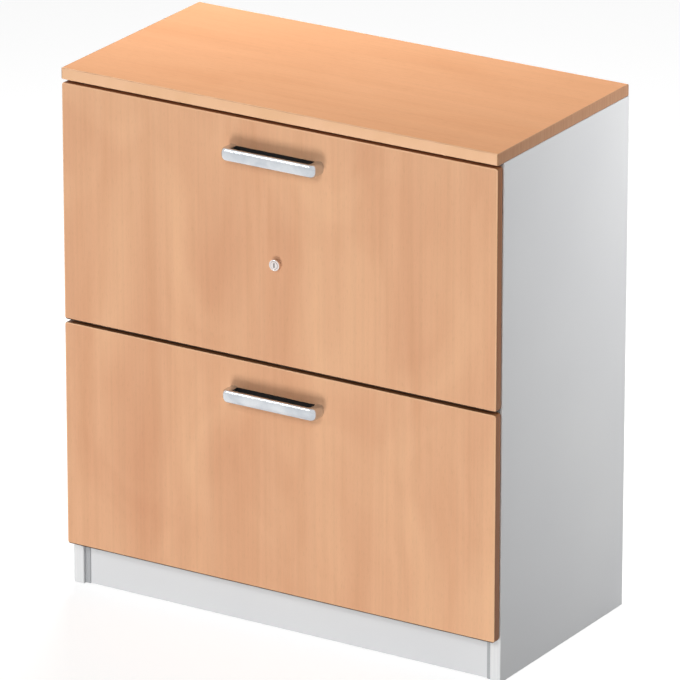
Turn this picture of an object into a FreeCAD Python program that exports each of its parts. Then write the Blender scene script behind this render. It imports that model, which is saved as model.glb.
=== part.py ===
import FreeCAD, Part
import math
import os

# A two-drawer filing cabinet for hanging files: a laminated board carcass on a plinth, with a beech top,
# two full-width beech fronts, bow handles and one lock. Millimetres, +Z up, the fronts face -Y.
# The origin is on the floor, at the middle of the footprint with the handles counted in.

# Overall
CABINET_WIDTH = 800.0
CABINET_DEPTH = 400.0
CABINET_HEIGHT = 880.0
FLOOR_GAP = 2.0
CUT_OVERRUN = 1.0
FASTENER_EASE = 0.1

# Boards
SIDE_BOARD = 19.0
TOP_BOARD = 19.0
BOTTOM_BOARD = 19.0
FRONT_BOARD = 16.0
RAIL_BOARD = 19.0
PLINTH_BOARD = 19.0
BACK_BOARD = 8.0
EDGE_BAND = 2.0
EDGE_ROUNDING_SHARE = 0.8

# Plinth and bottom
PLINTH_HEIGHT = 73.0
PLINTH_RECESS = 8.0

# Back panel in its grooves
BACK_INSET = 12.0
BACK_GROOVE_DEPTH = 8.0
BACK_GROOVE_PLAY = 0.2
BACK_FLOOR_GAP = 20.0

# Fronts
FRONT_GAP = 5.0
TOP_GAP = 5.0
FRONT_STAND_OFF = 2.0
FRONT_SIDE_INSET = 1.0
FRONT_CORNER_RADIUS = 4.5
LOWER_FRONT_HEIGHT = 379.5
LOWER_FRONT_LAP = 19.0

# Top rail and the steel rail between the drawers
TOP_RAIL_DEPTH = 60.0
TOP_RAIL_SETBACK = 6.0
MID_RAIL_SHEET = 1.5
MID_RAIL_DEPTH = 30.0
MID_RAIL_HEIGHT = 19.5
MID_RAIL_CATCH_GAP = 1.0
MID_RAIL_RISE = 3.0

# Handles
HANDLE_HOLE_SPACING = 160.0
HANDLE_LEG_WIDTH = 14.0
HANDLE_PROJECTION = 28.0
HANDLE_BAR_HEIGHT = 20.0
HANDLE_BAR_THICKNESS = 8.0
HANDLE_OUTER_RADIUS = 9.0
HANDLE_INNER_RADIUS = 4.0
HANDLE_ROUNDING_SHARE = 0.375
HANDLE_DROP = 55.0
BACK_PLATE_THICKNESS = 2.5
BACK_PLATE_PLAY = 0.3
BACK_PLATE_MARGIN = 2.0
BACK_PLATE_ROUNDING = 0.8
HANDLE_THREAD_DEPTH = 10.0

# Drawer box
BOX_SHEET = 1.2
BOX_BOTTOM_SHEET = 1.0
BOX_RISE = 28.0
BOX_HEADROOM = 72.5
BOX_BACK_GAP = 27.0
BOX_FOOT_FLANGE = 15.0
BOX_BACK_FLANGE = 15.0
FILE_LIP_HEIGHT = 12.0
FILE_LIP_GAP = 0.8
BOX_PLAY = 0.2
MIDDLE_RAIL_WIDTH = 56.0
MIDDLE_RAIL_END_FLANGE = 22.0
BRACKET_SHEET = 2.0
BRACKET_HEIGHT = 90.0
BRACKET_SCREW_GAP = 0.5
BRACKET_REACH = 28.0

# Drawer runners: full extension, three nested channels and two ball cages on each side
RUNNER_BACK_GAP = 30.0
RUNNER_HEIGHT = 45.0
RUNNER_THICKNESS = 12.7
RUNNER_SHEET = 1.2
RUNNER_SETBACK = 2.0
RUNNER_RISE = 8.0
RUNNER_END_GAP = 0.4
RUNNER_LIP_GAP = 0.2
RUNNER_LIP_SHARE = 0.7
BALL_SIDE_GAP = 1.0
BALL_PLAY = 0.05
BALL_POCKET_PLAY = 0.1
BALLS_IN_ROW = 5
CAGE_SHEET = 0.4
CAGE_LIP_SHEET = 0.6
CAGE_PLAY = 0.2
CAGE_END_MARGIN = 7.5

# Lock
LOCK_RISE_SHARE = 0.4225
PLUG_RADIUS = 6.0
PLUG_PLAY = 0.05
LOCK_BODY_WALL = 1.95
LOCK_NOSE_LIP = 1.5
LOCK_NOSE_PROJECTION = 7.5
LOCK_NOSE_ROUNDING = 1.2
LOCK_HOLE_PLAY = 0.2
LOCK_NUT_THICKNESS = 4.0
LOCK_NUT_WALL = 2.5
LOCK_BODY_TAIL = 1.5
PLUG_FACE_RECESS = 0.6
KEYWAY_LENGTH = 7.5
KEYWAY_WIDTH = 1.8
KEYWAY_DEPTH = 18.0
PINION_GAP = 0.5
PINION_THICKNESS = 5.0
PINION_SQUARE = 5.0
PINION_SQUARE_PLAY = 0.03
PLUG_TAIL = 2.0
GEAR_MODULE = 1.0
PINION_TOOTH_COUNT = 13
PINION_FLANK_COUNT = 5
PRESSURE_ANGLE = 25.0
ADDENDUM_SHARE = 0.9
DEDENDUM_SHARE = 1.15
BACKLASH = 0.12
LOCK_TURN_ANGLE = 90.0
ROD_WIDTH = 6.0
ROD_THICKNESS = 4.0
ROD_TIP_GAP = 1.0
ROD_SLOT_PLAY = 0.5
ROD_TOP_MARGIN = 4.0
RACK_BELOW = 5.0
RACK_ABOVE = 15.0
GUIDE_WALL = 3.0
GUIDE_HEIGHT = 10.0
GUIDE_PLAY = 0.15
LOW_GUIDE_RISE = 22.0
HIGH_GUIDE_GAP = 4.8
CATCH_SHEET = 2.0
CATCH_RISE = 1.5
CATCH_WIDTH = 30.0
CATCH_MARGIN = 4.0
CATCH_SCREW_GAP = 5.0
BOTTOM_NOTCH_GAP = 2.8

# Levelling feet
FOOT_PAD_RADIUS = 17.0
FOOT_PAD_THICKNESS = 5.0
FOOT_PAD_ROUNDING = 1.2
FOOT_HUB_RADIUS = 7.0
FOOT_HUB_HEIGHT = 3.0
FOOT_STUD_RADIUS = 4.0
FOOT_STUD_LENGTH = 52.0
FOOT_STUD_PLAY = 0.06
FOOT_SOCKET_RADIUS = 2.5
FOOT_SOCKET_DEPTH = 6.0
FOOT_STOP_GAP = 0.3
HOUSING_RADIUS = 13.0
HOUSING_FLANGE = 24.0
HOUSING_FLANGE_THICKNESS = 4.0
HOUSING_MARGIN = 3.0
ACCESS_HOLE_RADIUS = 5.0

# Fasteners
DOWEL_RADIUS = 4.0
DOWEL_LENGTH = 30.0
DOWEL_IN_BOARD_FACE = 12.0
CAM_RADIUS = 7.5
CAM_DEPTH = 13.0
CAM_SLOT_WIDTH = 2.0
CAM_SLOT_DEPTH = 2.0
CAM_EDGE_DISTANCE = 34.0
BOLT_SHANK_RADIUS = 3.0
BOLT_THREAD_RADIUS = 2.5
BOLT_IN_BOARD_FACE = 11.0
SCREW_RADIUS = 2.0
SCREW_HEAD_RADIUS = 3.5
SCREW_HEAD_HEIGHT = 2.2
BACK_SCREW_LENGTH = 23.0
SHEET_SCREW_LENGTH = 6.0
SCREW_CROSS_WIDTH = 0.8
SCREW_CROSS_LENGTH = 4.4
SCREW_CROSS_DEPTH = 1.0
BUMPER_RADIUS = 4.0
BUMPER_GAP = 0.3
BUMPER_EDGE_DISTANCE = 30.0

# Where repeated fasteners sit, as shares of the length that they are spread over
TOP_CAM_SHARES = (0.28, 0.72)
BOTTOM_CAM_SHARES = (0.35, 0.65)
TOP_DOWEL_SHARES = (0.4, 0.6)
BOTTOM_DOWEL_SHARES = (0.45, 0.55)
RAIL_DOWEL_SHARES = (0.3, 0.7)
RUNNER_SCREW_SHARES = (0.08, 0.5, 0.92)
BACK_SCREW_SHARES = (0.06, 0.28, 0.5, 0.72, 0.94)
BRACKET_RISE_SHARE = 0.345
BRACKET_SCREW_SHARES = (0.2, 0.8)
SCREW_IN_BOARD_SHARE = 0.7

# Edging
EDGE_ROUNDING = EDGE_BAND * EDGE_ROUNDING_SHARE

# Depth of the cabinet, from the faces of the fronts to the back
FRONT_FACE_Y = (HANDLE_PROJECTION - CABINET_DEPTH) / 2
BACK_Y = FRONT_FACE_Y + CABINET_DEPTH
FRONT_REAR_Y = FRONT_FACE_Y + FRONT_BOARD
CARCASS_FRONT_Y = FRONT_REAR_Y + FRONT_STAND_OFF
BACK_PANEL_Y = BACK_Y - BACK_INSET - BACK_BOARD

# Drawer travel and the drawer box's rear end
RUNNER_Y = CARCASS_FRONT_Y + RUNNER_SETBACK
RUNNER_LENGTH = BACK_PANEL_Y - RUNNER_BACK_GAP - RUNNER_Y
RUNNER_TRAVEL = RUNNER_LENGTH
BOX_END_Y = BACK_PANEL_Y - BOX_BACK_GAP
MID_RAIL_Y = FRONT_REAR_Y + CATCH_SHEET + MID_RAIL_CATCH_GAP

# Width
HALF_WIDTH = CABINET_WIDTH / 2
INNER_HALF = HALF_WIDTH - SIDE_BOARD
SIDE_MIDDLE_X = HALF_WIDTH - SIDE_BOARD / 2
BOX_HALF = INNER_HALF - RUNNER_THICKNESS
BRACKET_WIDTH = BRACKET_SHEET + 2 * (SCREW_HEAD_RADIUS + BRACKET_SCREW_GAP)
FILE_LIP_INSET = BOX_SHEET + BRACKET_WIDTH + FILE_LIP_GAP

# Heights
SIDE_TOP_Z = CABINET_HEIGHT - TOP_BOARD
BOTTOM_Z = FLOOR_GAP + PLINTH_HEIGHT
LOWER_FRONT_Z = BOTTOM_Z + BOTTOM_BOARD - LOWER_FRONT_LAP
LOWER_FRONT_TOP = LOWER_FRONT_Z + LOWER_FRONT_HEIGHT
UPPER_FRONT_Z = LOWER_FRONT_TOP + FRONT_GAP
UPPER_FRONT_TOP = SIDE_TOP_Z - TOP_GAP
MID_RAIL_TOP = UPPER_FRONT_Z + MID_RAIL_RISE
MID_RAIL_Z = MID_RAIL_TOP - MID_RAIL_HEIGHT
LOCK_Z = UPPER_FRONT_Z + (UPPER_FRONT_TOP - UPPER_FRONT_Z) * LOCK_RISE_SHARE

# The two drawer boxes are alike, and fit under the lower of the two rails above them
LOWER_BOX_LIMIT = MID_RAIL_Z - LOWER_FRONT_Z
UPPER_BOX_LIMIT = SIDE_TOP_Z - RAIL_BOARD - UPPER_FRONT_Z
BOX_HEIGHT = min(LOWER_BOX_LIMIT, UPPER_BOX_LIMIT) - BOX_HEADROOM - BOX_RISE
BRACKET_RISE = (BOX_HEIGHT - BRACKET_HEIGHT) * BRACKET_RISE_SHARE

# Lock: radii round the plug, depths behind the upper front, and the rod beside the pinion
LOCK_BODY_RADIUS = PLUG_RADIUS + PLUG_PLAY + LOCK_BODY_WALL
LOCK_NOSE_RADIUS = LOCK_BODY_RADIUS + LOCK_NOSE_LIP
LOCK_NUT_FLATS = 2 * (LOCK_BODY_RADIUS + LOCK_NUT_WALL)
NUT_REAR_Y = FRONT_REAR_Y + LOCK_NUT_THICKNESS
LOCK_BODY_END_Y = NUT_REAR_Y + LOCK_BODY_TAIL
PINION_Y = LOCK_BODY_END_Y + PINION_GAP
ROD_Y = PINION_Y + (PINION_THICKNESS - ROD_THICKNESS) / 2
PITCH_RADIUS = GEAR_MODULE * PINION_TOOTH_COUNT / 2
ROD_X = PITCH_RADIUS + GEAR_MODULE * DEDENDUM_SHARE
ROD_TRAVEL = PITCH_RADIUS * math.radians(LOCK_TURN_ANGLE)
ROD_TIP_Z = MID_RAIL_TOP + ROD_TIP_GAP

X_AXIS = FreeCAD.Vector(1, 0, 0)
Y_AXIS = FreeCAD.Vector(0, 1, 0)
Z_AXIS = FreeCAD.Vector(0, 0, 1)


def vec(x, y, z):
    return FreeCAD.Vector(x, y, z)


def block(x0, x1, y0, y1, z0, z1):
    """A box between two corners."""
    return Part.makeBox(x1 - x0, y1 - y0, z1 - z0, vec(x0, y0, z0))


def pin(start, direction, length, radius):
    """A cylinder from start, along direction."""
    return Part.makeCylinder(radius, length, start, direction)


def union(shapes):
    """One solid from shapes that share faces or volume."""
    return shapes[0].fuse(shapes[1:]).removeSplitter()


def group(shapes):
    return Part.makeCompound(shapes)


def mirrored(shape):
    """The same piece on the cabinet's other side."""
    return shape.mirror(vec(0, 0, 0), X_AXIS)


def both_sides(shape):
    return group([shape, mirrored(shape)])


def between(low, high, share):
    return low + (high - low) * share


def prism(outline, direction):
    """A closed outline of points, filled and pushed along a vector."""
    wire = Part.makePolygon(outline + [outline[0]])
    return Part.Face(wire).extrude(direction)


def long_edges(shape, axis, on_face):
    """The edges that lie along axis and whose midpoint passes the test."""
    picked = []
    for edge in shape.Edges:
        if not isinstance(edge.Curve, Part.Line):
            continue
        if abs(edge.Curve.Direction.dot(axis)) < 0.999:
            continue
        if on_face(edge.valueAt((edge.FirstParameter + edge.LastParameter) / 2)):
            picked.append(edge)
    return picked


# Runner section, from the side panel (u = 0) towards the drawer: where each web, flange and lip lies
OUTER_CAGE_U = RUNNER_SHEET + CAGE_PLAY
MIDDLE_WEB_U = OUTER_CAGE_U + CAGE_SHEET + CAGE_PLAY
INNER_CAGE_U = MIDDLE_WEB_U + RUNNER_SHEET + CAGE_PLAY
DRAWER_LIP_U = INNER_CAGE_U + CAGE_SHEET + CAGE_PLAY
DRAWER_WEB_U = RUNNER_THICKNESS - RUNNER_SHEET
MIDDLE_END_U = DRAWER_WEB_U - RUNNER_END_GAP
CABINET_END_U = MIDDLE_END_U - RUNNER_SHEET - RUNNER_LIP_GAP
BALL_RADIUS = (DRAWER_WEB_U - DRAWER_LIP_U - RUNNER_SHEET) / 2 - BALL_SIDE_GAP
RUNNER_LIP = BALL_RADIUS * RUNNER_LIP_SHARE

# Runner section, up from its middle (v = 0): the channels' flanges and the balls between them
BALL_LANE = 2 * (BALL_RADIUS + BALL_PLAY)
CABINET_FLANGE_V = RUNNER_HEIGHT / 2
MIDDLE_FLANGE_V = CABINET_FLANGE_V - RUNNER_SHEET - BALL_LANE
DRAWER_FLANGE_V = MIDDLE_FLANGE_V - RUNNER_SHEET - BALL_LANE
OUTER_BALL_V = MIDDLE_FLANGE_V + BALL_LANE / 2
INNER_BALL_V = DRAWER_FLANGE_V + BALL_LANE / 2

# Fasteners. Each takes an ease: zero gives the piece, FASTENER_EASE the hole that it goes in.


def dowel(start, direction, ease):
    return pin(start - direction * ease, direction, DOWEL_LENGTH + 2 * ease, DOWEL_RADIUS + ease)


def slotted_cam(centre, direction, slot_direction, ease):
    """An eccentric connector housing, drilled in from a board's face; direction goes into the board."""
    body = pin(centre, direction, CAM_DEPTH + ease, CAM_RADIUS + ease)
    if ease:
        return body
    across = direction.cross(slot_direction)
    reach = CAM_RADIUS * 2
    corner = centre - slot_direction * CAM_RADIUS - across * (CAM_SLOT_WIDTH / 2) - direction * CUT_OVERRUN
    outline = [
        corner,
        corner + slot_direction * reach,
        corner + slot_direction * reach + across * CAM_SLOT_WIDTH,
        corner + across * CAM_SLOT_WIDTH,
    ]
    return body.cut(prism(outline, direction * (CAM_SLOT_DEPTH + CUT_OVERRUN)))


def connector_bolt(cam_centre, direction, ease):
    """The bolt from a cam to the next board: a smooth shank in the cam's board, a thread in the other.

    The piece starts beside its cam, and the hole for it starts inside the cam's own hole.
    """
    start = CAM_RADIUS / 2 if ease else CAM_RADIUS + FASTENER_EASE
    joint = cam_centre + direction * CAM_EDGE_DISTANCE
    shank_length = CAM_EDGE_DISTANCE - start
    shank = pin(cam_centre + direction * start, direction, shank_length, BOLT_SHANK_RADIUS + ease)
    thread = pin(joint, direction, BOLT_IN_BOARD_FACE + ease, BOLT_THREAD_RADIUS + ease)
    return union([shank, thread])


def screw(face, direction, length, ease):
    """A pan-head screw: face is the point under its head, and direction goes into the work."""
    shank = pin(face, direction, length + ease, SCREW_RADIUS + ease)
    if ease:
        return shank
    head = pin(face - direction * SCREW_HEAD_HEIGHT, direction, SCREW_HEAD_HEIGHT, SCREW_HEAD_RADIUS)
    return union([shank, head]).cut(cross_slot(face - direction * SCREW_HEAD_HEIGHT, direction))


def cross_slot(top, direction):
    """The cross recess in a screw head, cut from its top."""
    side = Z_AXIS if abs(direction.dot(Z_AXIS)) < 0.5 else X_AXIS
    arms = []
    for along in (side, direction.cross(side)):
        across = direction.cross(along)
        start = top - direction * CUT_OVERRUN
        start = start - along * (SCREW_CROSS_LENGTH / 2) - across * (SCREW_CROSS_WIDTH / 2)
        outline = [
            start,
            start + along * SCREW_CROSS_LENGTH,
            start + along * SCREW_CROSS_LENGTH + across * SCREW_CROSS_WIDTH,
            start + across * SCREW_CROSS_WIDTH,
        ]
        arms.append(prism(outline, direction * (SCREW_CROSS_DEPTH + CUT_OVERRUN)))
    return union(arms)


def flush_screw(face, direction, sheet, length, ease):
    """A screw whose head lies flush in a sheet: face is on the sheet's open side."""
    head = pin(face, direction, sheet, SCREW_HEAD_RADIUS + ease)
    shank = pin(face + direction * sheet, direction, length - sheet + ease, SCREW_RADIUS + ease)
    return union([head, shank])


# Places of the carcass fasteners


def side_y(share):
    """A place along the depth of a side panel."""
    return between(CARCASS_FRONT_Y, BACK_PANEL_Y, share)


def top_cams(ease):
    """Cams in the side panels' inner faces, near the top."""
    cams = [
        slotted_cam(vec(INNER_HALF, side_y(s), SIDE_TOP_Z - CAM_EDGE_DISTANCE), X_AXIS, Z_AXIS, ease)
        for s in TOP_CAM_SHARES
    ]
    return cams + [mirrored(c) for c in cams]


def bottom_cams(ease):
    """Cams in the bottom panel's underside, near its ends."""
    cams = [
        slotted_cam(vec(INNER_HALF - CAM_EDGE_DISTANCE, side_y(s), BOTTOM_Z), Z_AXIS, X_AXIS, ease)
        for s in BOTTOM_CAM_SHARES
    ]
    return cams + [mirrored(c) for c in cams]


def connector_bolts(ease):
    upright_z = SIDE_TOP_Z - CAM_EDGE_DISTANCE
    level_x = INNER_HALF - CAM_EDGE_DISTANCE
    level_z = BOTTOM_Z + BOTTOM_BOARD / 2
    bolts = [connector_bolt(vec(SIDE_MIDDLE_X, side_y(s), upright_z), Z_AXIS, ease) for s in TOP_CAM_SHARES]
    bolts += [connector_bolt(vec(level_x, side_y(s), level_z), X_AXIS, ease) for s in BOTTOM_CAM_SHARES]
    return bolts + [mirrored(b) for b in bolts]


def dowels(ease):
    """Dowels into the side panels from the top, the bottom, the top rail and the two plinth boards."""
    lead_in = DOWEL_LENGTH - DOWEL_IN_BOARD_FACE
    found = []
    for s in TOP_DOWEL_SHARES:
        found.append(dowel(vec(SIDE_MIDDLE_X, side_y(s), SIDE_TOP_Z - lead_in), Z_AXIS, ease))
    start_x = INNER_HALF - lead_in
    for s in BOTTOM_DOWEL_SHARES:
        found.append(dowel(vec(start_x, side_y(s), BOTTOM_Z + BOTTOM_BOARD / 2), X_AXIS, ease))
    rail_y = CARCASS_FRONT_Y + TOP_RAIL_SETBACK
    for s in RAIL_DOWEL_SHARES:
        rail_z = SIDE_TOP_Z - RAIL_BOARD / 2
        found.append(dowel(vec(start_x, between(rail_y, rail_y + TOP_RAIL_DEPTH, s), rail_z), X_AXIS, ease))
        plinth_z = between(FLOOR_GAP, BOTTOM_Z, s)
        for plinth_y in (CARCASS_FRONT_Y + PLINTH_RECESS, BACK_PANEL_Y - PLINTH_BOARD):
            found.append(dowel(vec(start_x, plinth_y + PLINTH_BOARD / 2, plinth_z), X_AXIS, ease))
    return found + [mirrored(d) for d in found]


def box_z(front_z):
    """The underside of a drawer box."""
    return front_z + BOX_RISE


def runner_z(front_z):
    """The middle height of a drawer's runners."""
    return box_z(front_z) + RUNNER_RISE + RUNNER_HEIGHT / 2


def runner_y(share):
    return between(RUNNER_Y, RUNNER_Y + RUNNER_LENGTH, share)


def carcass_screws(ease):
    """Runner screws into the side panels, mid rail screws, and screws through the back panel."""
    wood = SIDE_BOARD * SCREW_IN_BOARD_SHARE
    found = []
    for front_z in (LOWER_FRONT_Z, UPPER_FRONT_Z):
        for s in RUNNER_SCREW_SHARES:
            face = vec(INNER_HALF - RUNNER_SHEET, runner_y(s), runner_z(front_z))
            found.append(flush_screw(face, X_AXIS, RUNNER_SHEET, RUNNER_SHEET + wood, ease))
    rail_z = MID_RAIL_Z + MID_RAIL_HEIGHT / 2
    face = vec(INNER_HALF - MID_RAIL_SHEET, MID_RAIL_Y + MID_RAIL_DEPTH / 2, rail_z)
    found.append(screw(face, X_AXIS, MID_RAIL_SHEET + wood, ease))
    found += [mirrored(s) for s in found]
    for s in BACK_SCREW_SHARES:
        x = between(-INNER_HALF, INNER_HALF, s)
        face = vec(x, BACK_PANEL_Y + BACK_BOARD, BOTTOM_Z + BOTTOM_BOARD / 2)
        found.append(screw(face, -Y_AXIS, BACK_SCREW_LENGTH, ease))
    return found


def foot_places():
    """The four feet, by name, with their x and y."""
    inset = HOUSING_FLANGE + HOUSING_MARGIN
    x = INNER_HALF - inset
    front_y = CARCASS_FRONT_Y + PLINTH_RECESS + PLINTH_BOARD + inset
    rear_y = BACK_PANEL_Y - PLINTH_BOARD - inset
    return {
        "front_left_foot": (-x, front_y),
        "front_right_foot": (x, front_y),
        "rear_left_foot": (-x, rear_y),
        "rear_right_foot": (x, rear_y),
    }


def access_holes():
    """Holes in the bottom panel, through which a key turns the feet."""
    return [
        pin(vec(x, y, BOTTOM_Z - CUT_OVERRUN), Z_AXIS, BOTTOM_BOARD + 2 * CUT_OVERRUN, ACCESS_HOLE_RADIUS)
        for x, y in foot_places().values()
    ]


def carcass_holes():
    ease = FASTENER_EASE
    found = top_cams(ease) + bottom_cams(ease) + connector_bolts(ease)
    return group(found + dowels(ease) + carcass_screws(ease) + access_holes())


# Carcass boards


def back_groove():
    """The groove that the back panel slides in, run through both sides and stopped in the top."""
    reach = INNER_HALF + BACK_GROOVE_DEPTH
    return block(
        -reach,
        reach,
        BACK_PANEL_Y - BACK_GROOVE_PLAY,
        BACK_PANEL_Y + BACK_BOARD + BACK_GROOVE_PLAY,
        FLOOR_GAP - CUT_OVERRUN,
        SIDE_TOP_Z + BACK_GROOVE_DEPTH,
    )


def side_panel(holes):
    board = block(INNER_HALF, HALF_WIDTH, CARCASS_FRONT_Y + EDGE_BAND, BACK_Y, FLOOR_GAP, SIDE_TOP_Z)
    return board.cut([back_groove(), holes])


def side_edge_band():
    band = block(
        INNER_HALF, HALF_WIDTH, CARCASS_FRONT_Y, CARCASS_FRONT_Y + EDGE_BAND, FLOOR_GAP, SIDE_TOP_Z
    )
    edges = long_edges(band, Z_AXIS, lambda p: p.y < CARCASS_FRONT_Y + EDGE_BAND / 2)
    return band.makeFillet(EDGE_ROUNDING, edges)


def top_panel(holes):
    board = block(
        -HALF_WIDTH + EDGE_BAND,
        HALF_WIDTH - EDGE_BAND,
        FRONT_FACE_Y + EDGE_BAND,
        BACK_Y - EDGE_BAND,
        SIDE_TOP_Z,
        CABINET_HEIGHT,
    )
    return board.cut([back_groove(), holes])


def top_edge_band():
    """A ring round the top, with its two outer edges rounded."""
    outer = block(-HALF_WIDTH, HALF_WIDTH, FRONT_FACE_Y, BACK_Y, SIDE_TOP_Z, CABINET_HEIGHT)
    outer = outer.makeFillet(EDGE_BAND, long_edges(outer, Z_AXIS, lambda p: True))
    rims = [e for e in outer.Edges if e.BoundBox.ZLength < CUT_OVERRUN / 2]
    outer = outer.makeFillet(EDGE_ROUNDING, rims)
    core = block(
        -HALF_WIDTH + EDGE_BAND,
        HALF_WIDTH - EDGE_BAND,
        FRONT_FACE_Y + EDGE_BAND,
        BACK_Y - EDGE_BAND,
        SIDE_TOP_Z - CUT_OVERRUN,
        CABINET_HEIGHT + CUT_OVERRUN,
    )
    return outer.cut(core)


def bottom_panel(holes):
    front_y = CARCASS_FRONT_Y + EDGE_BAND
    return block(
        -INNER_HALF, INNER_HALF, front_y, BACK_PANEL_Y, BOTTOM_Z, BOTTOM_Z + BOTTOM_BOARD
    ).cut(holes)


def back_panel(holes):
    reach = INNER_HALF + BACK_GROOVE_DEPTH - BACK_GROOVE_PLAY
    return block(
        -reach,
        reach,
        BACK_PANEL_Y,
        BACK_PANEL_Y + BACK_BOARD,
        FLOOR_GAP + BACK_FLOOR_GAP,
        SIDE_TOP_Z + BACK_GROOVE_DEPTH - BACK_GROOVE_PLAY,
    ).cut(holes)


def plinth_board(holes):
    y = CARCASS_FRONT_Y + PLINTH_RECESS
    return block(-INNER_HALF, INNER_HALF, y, y + PLINTH_BOARD, FLOOR_GAP, BOTTOM_Z).cut(holes)


def rear_plinth_rail(holes):
    y = BACK_PANEL_Y - PLINTH_BOARD
    return block(-INNER_HALF, INNER_HALF, y, BACK_PANEL_Y, FLOOR_GAP, BOTTOM_Z).cut(holes)


def front_top_rail(holes):
    y = CARCASS_FRONT_Y + TOP_RAIL_SETBACK
    return block(
        -INNER_HALF, INNER_HALF, y, y + TOP_RAIL_DEPTH, SIDE_TOP_Z - RAIL_BOARD, SIDE_TOP_Z
    ).cut(holes)


def rod_slot(z0, z1):
    """The slot that the lock rod drops through."""
    return block(
        ROD_X - ROD_SLOT_PLAY,
        ROD_X + ROD_WIDTH + ROD_SLOT_PLAY,
        ROD_Y - ROD_SLOT_PLAY,
        ROD_Y + ROD_THICKNESS + ROD_SLOT_PLAY,
        z0,
        z1,
    )


def mid_rail(holes):
    """A folded steel rail, open to the front, with a flange at each end for its screws."""
    y1 = MID_RAIL_Y + MID_RAIL_DEPTH
    outer = block(-INNER_HALF, INNER_HALF, MID_RAIL_Y, y1, MID_RAIL_Z, MID_RAIL_TOP)
    inside = block(
        -INNER_HALF + MID_RAIL_SHEET,
        INNER_HALF - MID_RAIL_SHEET,
        MID_RAIL_Y - CUT_OVERRUN,
        y1 - MID_RAIL_SHEET,
        MID_RAIL_Z + MID_RAIL_SHEET,
        MID_RAIL_TOP - MID_RAIL_SHEET,
    )
    slot = rod_slot(MID_RAIL_TOP - MID_RAIL_SHEET - CUT_OVERRUN, MID_RAIL_TOP + CUT_OVERRUN)
    return outer.cut([inside, slot, holes])


def front_bumpers():
    """Soft buttons on the side panels' front edges, two behind each front on each side."""
    found = []
    length = FRONT_STAND_OFF - BUMPER_GAP
    for low, high in ((LOWER_FRONT_Z, LOWER_FRONT_TOP), (UPPER_FRONT_Z, UPPER_FRONT_TOP)):
        for z in (low + BUMPER_EDGE_DISTANCE, high - BUMPER_EDGE_DISTANCE):
            found.append(pin(vec(SIDE_MIDDLE_X, CARCASS_FRONT_Y, z), -Y_AXIS, length, BUMPER_RADIUS))
    return group(found + [mirrored(b) for b in found])


# Levelling feet


def leveller_housing(x, y):
    """A socket under the bottom panel, with a screw flange and a blind bore for the foot's stud."""
    low = FOOT_PAD_THICKNESS + FOOT_HUB_HEIGHT + FOOT_STOP_GAP
    barrel = pin(vec(x, y, low), Z_AXIS, BOTTOM_Z - low, HOUSING_RADIUS)
    flange = block(
        x - HOUSING_FLANGE,
        x + HOUSING_FLANGE,
        y - HOUSING_FLANGE,
        y + HOUSING_FLANGE,
        BOTTOM_Z - HOUSING_FLANGE_THICKNESS,
        BOTTOM_Z,
    )
    flange = flange.makeFillet(HOUSING_FLANGE_THICKNESS, long_edges(flange, Z_AXIS, lambda p: True))
    bore = pin(
        vec(x, y, low - CUT_OVERRUN),
        Z_AXIS,
        BOTTOM_Z - low + 2 * CUT_OVERRUN,
        FOOT_STUD_RADIUS + FOOT_STUD_PLAY,
    )
    return union([barrel, flange]).cut(bore)


def foot(x, y):
    """A round pad on a threaded stud, with a key socket in the stud's top."""
    pad = pin(vec(x, y, 0), Z_AXIS, FOOT_PAD_THICKNESS, FOOT_PAD_RADIUS)
    rim = [e for e in pad.Edges if e.BoundBox.ZMin > FOOT_PAD_THICKNESS / 2]
    pad = pad.makeFillet(FOOT_PAD_ROUNDING, rim)
    hub = pin(vec(x, y, FOOT_PAD_THICKNESS), Z_AXIS, FOOT_HUB_HEIGHT, FOOT_HUB_RADIUS)
    stud_z = FOOT_PAD_THICKNESS + FOOT_HUB_HEIGHT
    stud = pin(vec(x, y, stud_z), Z_AXIS, FOOT_STUD_LENGTH, FOOT_STUD_RADIUS)
    stud_top = stud_z + FOOT_STUD_LENGTH
    corners = [
        vec(
            x + FOOT_SOCKET_RADIUS * math.cos(math.radians(60 * k)),
            y + FOOT_SOCKET_RADIUS * math.sin(math.radians(60 * k)),
            stud_top - FOOT_SOCKET_DEPTH,
        )
        for k in range(6)
    ]
    socket = prism(corners, Z_AXIS * (FOOT_SOCKET_DEPTH + CUT_OVERRUN))
    return union([pad, hub, stud]).cut(socket)


# Runners. In a runner's section, u goes from the side panel towards the drawer, and v up from its middle.


def runner_strip(u0, u1, v0, v1, front_z, start, length):
    """A strip of the right-hand runner's section, run along the depth."""
    x = INNER_HALF - u1
    z = runner_z(front_z)
    return block(x, INNER_HALF - u0, start, start + length, z + v0, z + v1)


def channel(web, flange, lip_at, v_outer, lip_sign, front_z):
    """A C-shaped channel: its web, its two flanges and the turned lips at the flanges' free ends."""
    v_inner = v_outer - RUNNER_SHEET
    strips = [runner_strip(web[0], web[1], -v_outer, v_outer, front_z, RUNNER_Y, RUNNER_LENGTH)]
    for side in (1, -1):
        low, high = sorted((side * v_inner, side * v_outer))
        strips.append(runner_strip(flange[0], flange[1], low, high, front_z, RUNNER_Y, RUNNER_LENGTH))
        root = v_outer if lip_sign > 0 else v_inner
        tip = root + lip_sign * RUNNER_LIP
        low, high = sorted((side * root, side * tip))
        strips.append(runner_strip(lip_at[0], lip_at[1], low, high, front_z, RUNNER_Y, RUNNER_LENGTH))
    return union(strips)


def cabinet_member(front_z, holes):
    web = (0, RUNNER_SHEET)
    lip = (CABINET_END_U - RUNNER_SHEET, CABINET_END_U)
    return channel(web, (0, CABINET_END_U), lip, CABINET_FLANGE_V, -1, front_z).cut(holes)


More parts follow.
